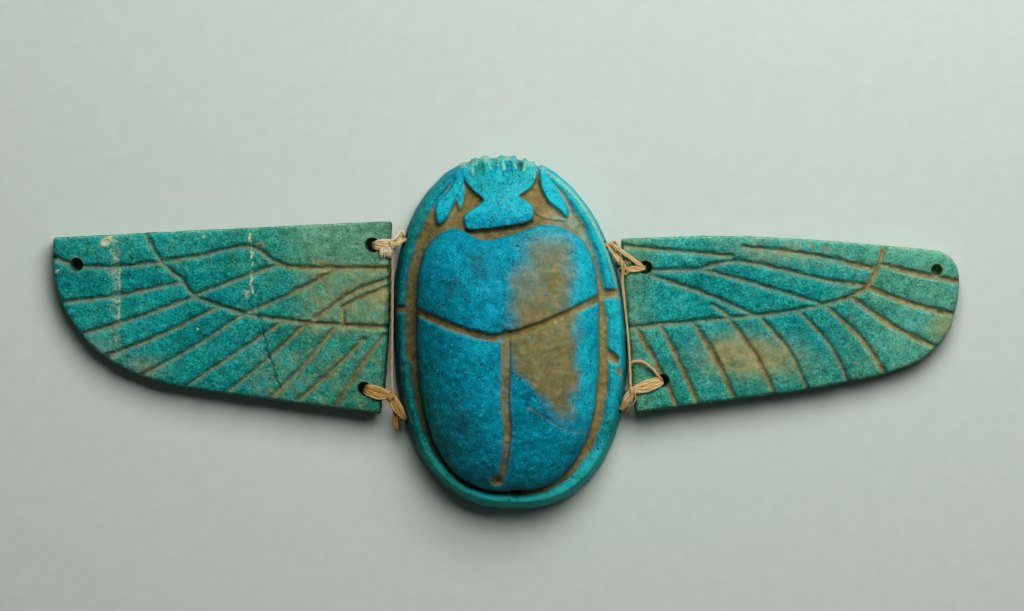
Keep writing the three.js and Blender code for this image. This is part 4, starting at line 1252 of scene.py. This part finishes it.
def faience(name, glaze):
    """Glazed faience: blue to green by noise and by mask, grainy, with pale flecks and dark pits, a
    brown veil, dirt in the cuts, pale worn lips and edges with painted highlights, dark marks with
    painted shade, and painted light and shade in the tone."""
    f = Finish(name)
    dirt_layer, stain, pale, dark_and_shade, green, painted_lighting = map(f.layer, MASKS)
    mottle, grain, broken = f.noise(1.5, 5, 0.65, 0.3), f.noise(0.34, 2, 0.6, 0.7), f.noise(0.6, 4, 0.65, 4.3)
    tone = f.math("ADD", f.times(f.noise(8, 4, 0.6), 0.4), f.times(mottle, 0.75))
    tone = f.sway(f.math("SUBTRACT", tone, 0.075), grain, glaze["grain"])
    # painted light and shade: the tone moves brighter or deeper with the lighting mask
    tone = f.sway(tone, painted_lighting, 0.6)
    green_share = f.step(f.sway(green, f.noise(2.6, 4, 0.65, 1.1), 1.5), 0.05, 0.95)
    colour = f.blend(green_share, f.shades(tone, glaze["blue"]), f.shades(tone, glaze["green"]))

    fleck = f.times(f.step(f.noise(0.42, 2, 0.5, 1.9), 0.6, 0.74), glaze["flecks"])
    colour = f.blend(fleck, colour, glaze["fleck"])
    veil = f.times(stain, f.step(f.noise(1.1, 5, 0.7, 2.3), 0.2, 0.62, (0.75, 1.1)))
    colour = f.blend(veil, colour, f.shades(mottle, glaze["veil"]))
    pit = f.step(f.noise(0.55, 2, 0.4, 3.1), 0.635, 0.70)
    pit = f.times(pit, f.step(f.noise(3.5, 2, 0.5, 3.7), 0.38, 0.62, (0.15, 1.0)))
    pit = f.times(pit, f.step(stain, 0.1, 0.7, (1.0, 0.25)))
    colour = f.blend(f.times(pit, glaze["specks"]), colour, (0.004, 0.028, 0.03))
    # pale worn edges and painted highlights, as the pale mask gives them
    worn_and_highlit = f.step(f.sway(pale, f.noise(0.45, 3, 0.6, 6.7), 1.5), 0.2, 0.95)
    colour = f.blend(f.times(worn_and_highlit, f.step(pale, 0.0, 0.12)), colour, glaze["pale"])
    dirt = f.step(f.sway(dirt_layer, broken, 0.5), 0.08, 0.92)
    # dirt paler where it lies thin: partly its own colour, partly painted light on the lit banks of the cuts,
    # against a darker keel
    thin = f.times(f.math("SUBTRACT", 1.0, dirt_layer), glaze["thin_dirt_and_lit_bank"])
    soil = f.math("MULTIPLY_ADD", f.noise(0.9, 5, 0.7, 5.9), 0.7, thin)
    # the lighting mask also paints the dirt lighter or darker
    soil = f.sway(f.sway(soil, f.noise(4.5, 3, 0.6, 8.3), 0.5), painted_lighting, 0.28)
    colour = f.blend(dirt, colour, f.shades(soil, glaze["dirt"]))
    # dark marks and painted shade, laid on in one near-black green
    dark = f.times(dark_and_shade, f.step(mottle, 0.3, 0.65, (1.0, 0.55)))
    colour = f.blend(f.times(dark, 0.85), colour, (0.012, 0.05, 0.04))

    rough = f.sway(f.math("MULTIPLY_ADD", dirt, 0.3, glaze["roughness"]), mottle, 0.25)
    relief = glaze["relief"]
    bumps = [
        (mottle, 0.6, 0.3 * relief), (grain, 0.7, 0.11 * relief), (f.times(pit, -1.0), 0.6, 0.1),
        (broken, 0.4, 0.08),
    ]
    return f.surface(colour, rough, bumps, 0.03)


LINEN = [
    (0.1, 0.34, 0.17, 0.035), (0.45, 0.60, 0.37, 0.12), (0.75, 0.76, 0.56, 0.27), (0.95, 0.86, 0.80, 0.64),
]


def linen():
    """Undyed linen: gold to cream by strand, with painted shade between the plies, streaked along the fibres.
    """
    f = Finish("linen_thread")
    colour = f.shades(f.sway(f.layer("tone"), f.noise(0.8, 4, 0.6), 0.5), LINEN)
    colour = f.blend(f.layer("faded"), colour, (0.30, 0.255, 0.15))
    lay = f.layer("lay")
    # painted shade in the grooves between the plies
    valley = f.math("MULTIPLY_ADD", f.math("COSINE", f.times(lay, 2)), 0.5, 0.5)
    colour = f.blend(f.step(valley, 0.0, 0.45, (0.4, 0.0)), colour, (0.2, 0.1, 0.03))
    fibres = f.math("SINE", f.math("MULTIPLY_ADD", f.noise(0.5, 3, 0.6, 1.3), 9, f.times(lay, 11)))
    fibres = f.math("MULTIPLY_ADD", fibres, 0.5, 0.5)
    colour = f.blend(f.times(fibres, 0.25), colour, (0.2, 0.1, 0.035))
    bumps = [(fibres, 0.5, 0.04), (f.noise(0.2, 2), 0.4, 0.03)]
    return f.surface(colour, 0.9, bumps, 0.1, **{"Sheen Weight": 0.04})


def board():
    """The plain pale ground."""
    f = Finish("pale_ground")
    colour = f.shades(f.noise(3, 4, 0.6), [(0.3, 0.535, 0.59, 0.535), (0.7, 0.56, 0.615, 0.56)])
    return f.surface(colour, 0.9, [(f.noise(0.6, 3), 0.2, 0.05)], 0.1)


# ---- the amulet ----
hand_in(make_beetle(), "scarab", faience("blue_faience", BEETLE_GLAZE))
wing_glaze = faience("green_faience", WING_GLAZE)
left_wing = make_wing("left_wing_carved", LEFT_WING, left_wing_masks, -1)
hand_in(left_wing, "left_wing", wing_glaze)
right_wing = make_wing("right_wing_carved", RIGHT_WING, right_wing_masks, 1)
hand_in(right_wing, "right_wing", wing_glaze)
thread_linen = linen()
hand_in(left_thread(), "left_thread", thread_linen)
hand_in(right_thread(), "right_thread", thread_linen)

# ---- ground, light and camera ----
HALF_GROUND = 450
GROUND_DEPTH = 0.05
VIEW_WIDTH = 174.1  # width of the view at the amulet
VIEW_CENTRE = (1.02, 4.42)
VIEW_HEIGHT = 900
SENSOR = 36
KEY_TURN, KEY_RISE, KEY_REACH = 70, 53, 400  # the key light: degrees round from +X, degrees up, distance
KEY_SIZE = 295
KEY_POWER = 2.08
FILL_STRENGTH = 0.04

corners = [(HALF_GROUND * x, HALF_GROUND * y, -GROUND_DEPTH) for x, y in ((-1, -1), (1, -1), (1, 1), (-1, 1))]
ground = new_piece("ground", corners, [(0, 1, 2, 3)])
ground.data.materials.append(board())

scene = bpy.context.scene
scene.view_settings.view_transform = "Standard"
scene.world = bpy.data.worlds.new("room")
scene.world.use_nodes = True
sky = scene.world.node_tree.nodes["Background"].inputs
sky["Color"].default_value, sky["Strength"].default_value = (0.96, 1.0, 0.98, 1), FILL_STRENGTH

key = bpy.data.lights.new("key", "AREA")
key.shape, key.size, key.energy = "SQUARE", KEY_SIZE * MM, KEY_POWER
key_object = bpy.data.objects.new("key", key)
scene.collection.objects.link(key_object)
rise, turn = math.radians(KEY_RISE), math.radians(KEY_TURN)
level = KEY_REACH * MM * math.cos(rise)
key_object.location = (level * math.cos(turn), level * math.sin(turn), KEY_REACH * MM * math.sin(rise))
key_object.rotation_euler = (0, math.pi / 2 - rise, turn)

lens = bpy.data.cameras.new("camera")
lens.sensor_width = SENSOR
lens.lens = SENSOR * VIEW_HEIGHT / VIEW_WIDTH
camera = bpy.data.objects.new("camera", lens)
camera.location = (VIEW_CENTRE[0] * MM, VIEW_CENTRE[1] * MM, VIEW_HEIGHT * MM)
scene.collection.objects.link(camera)
scene.camera = camera
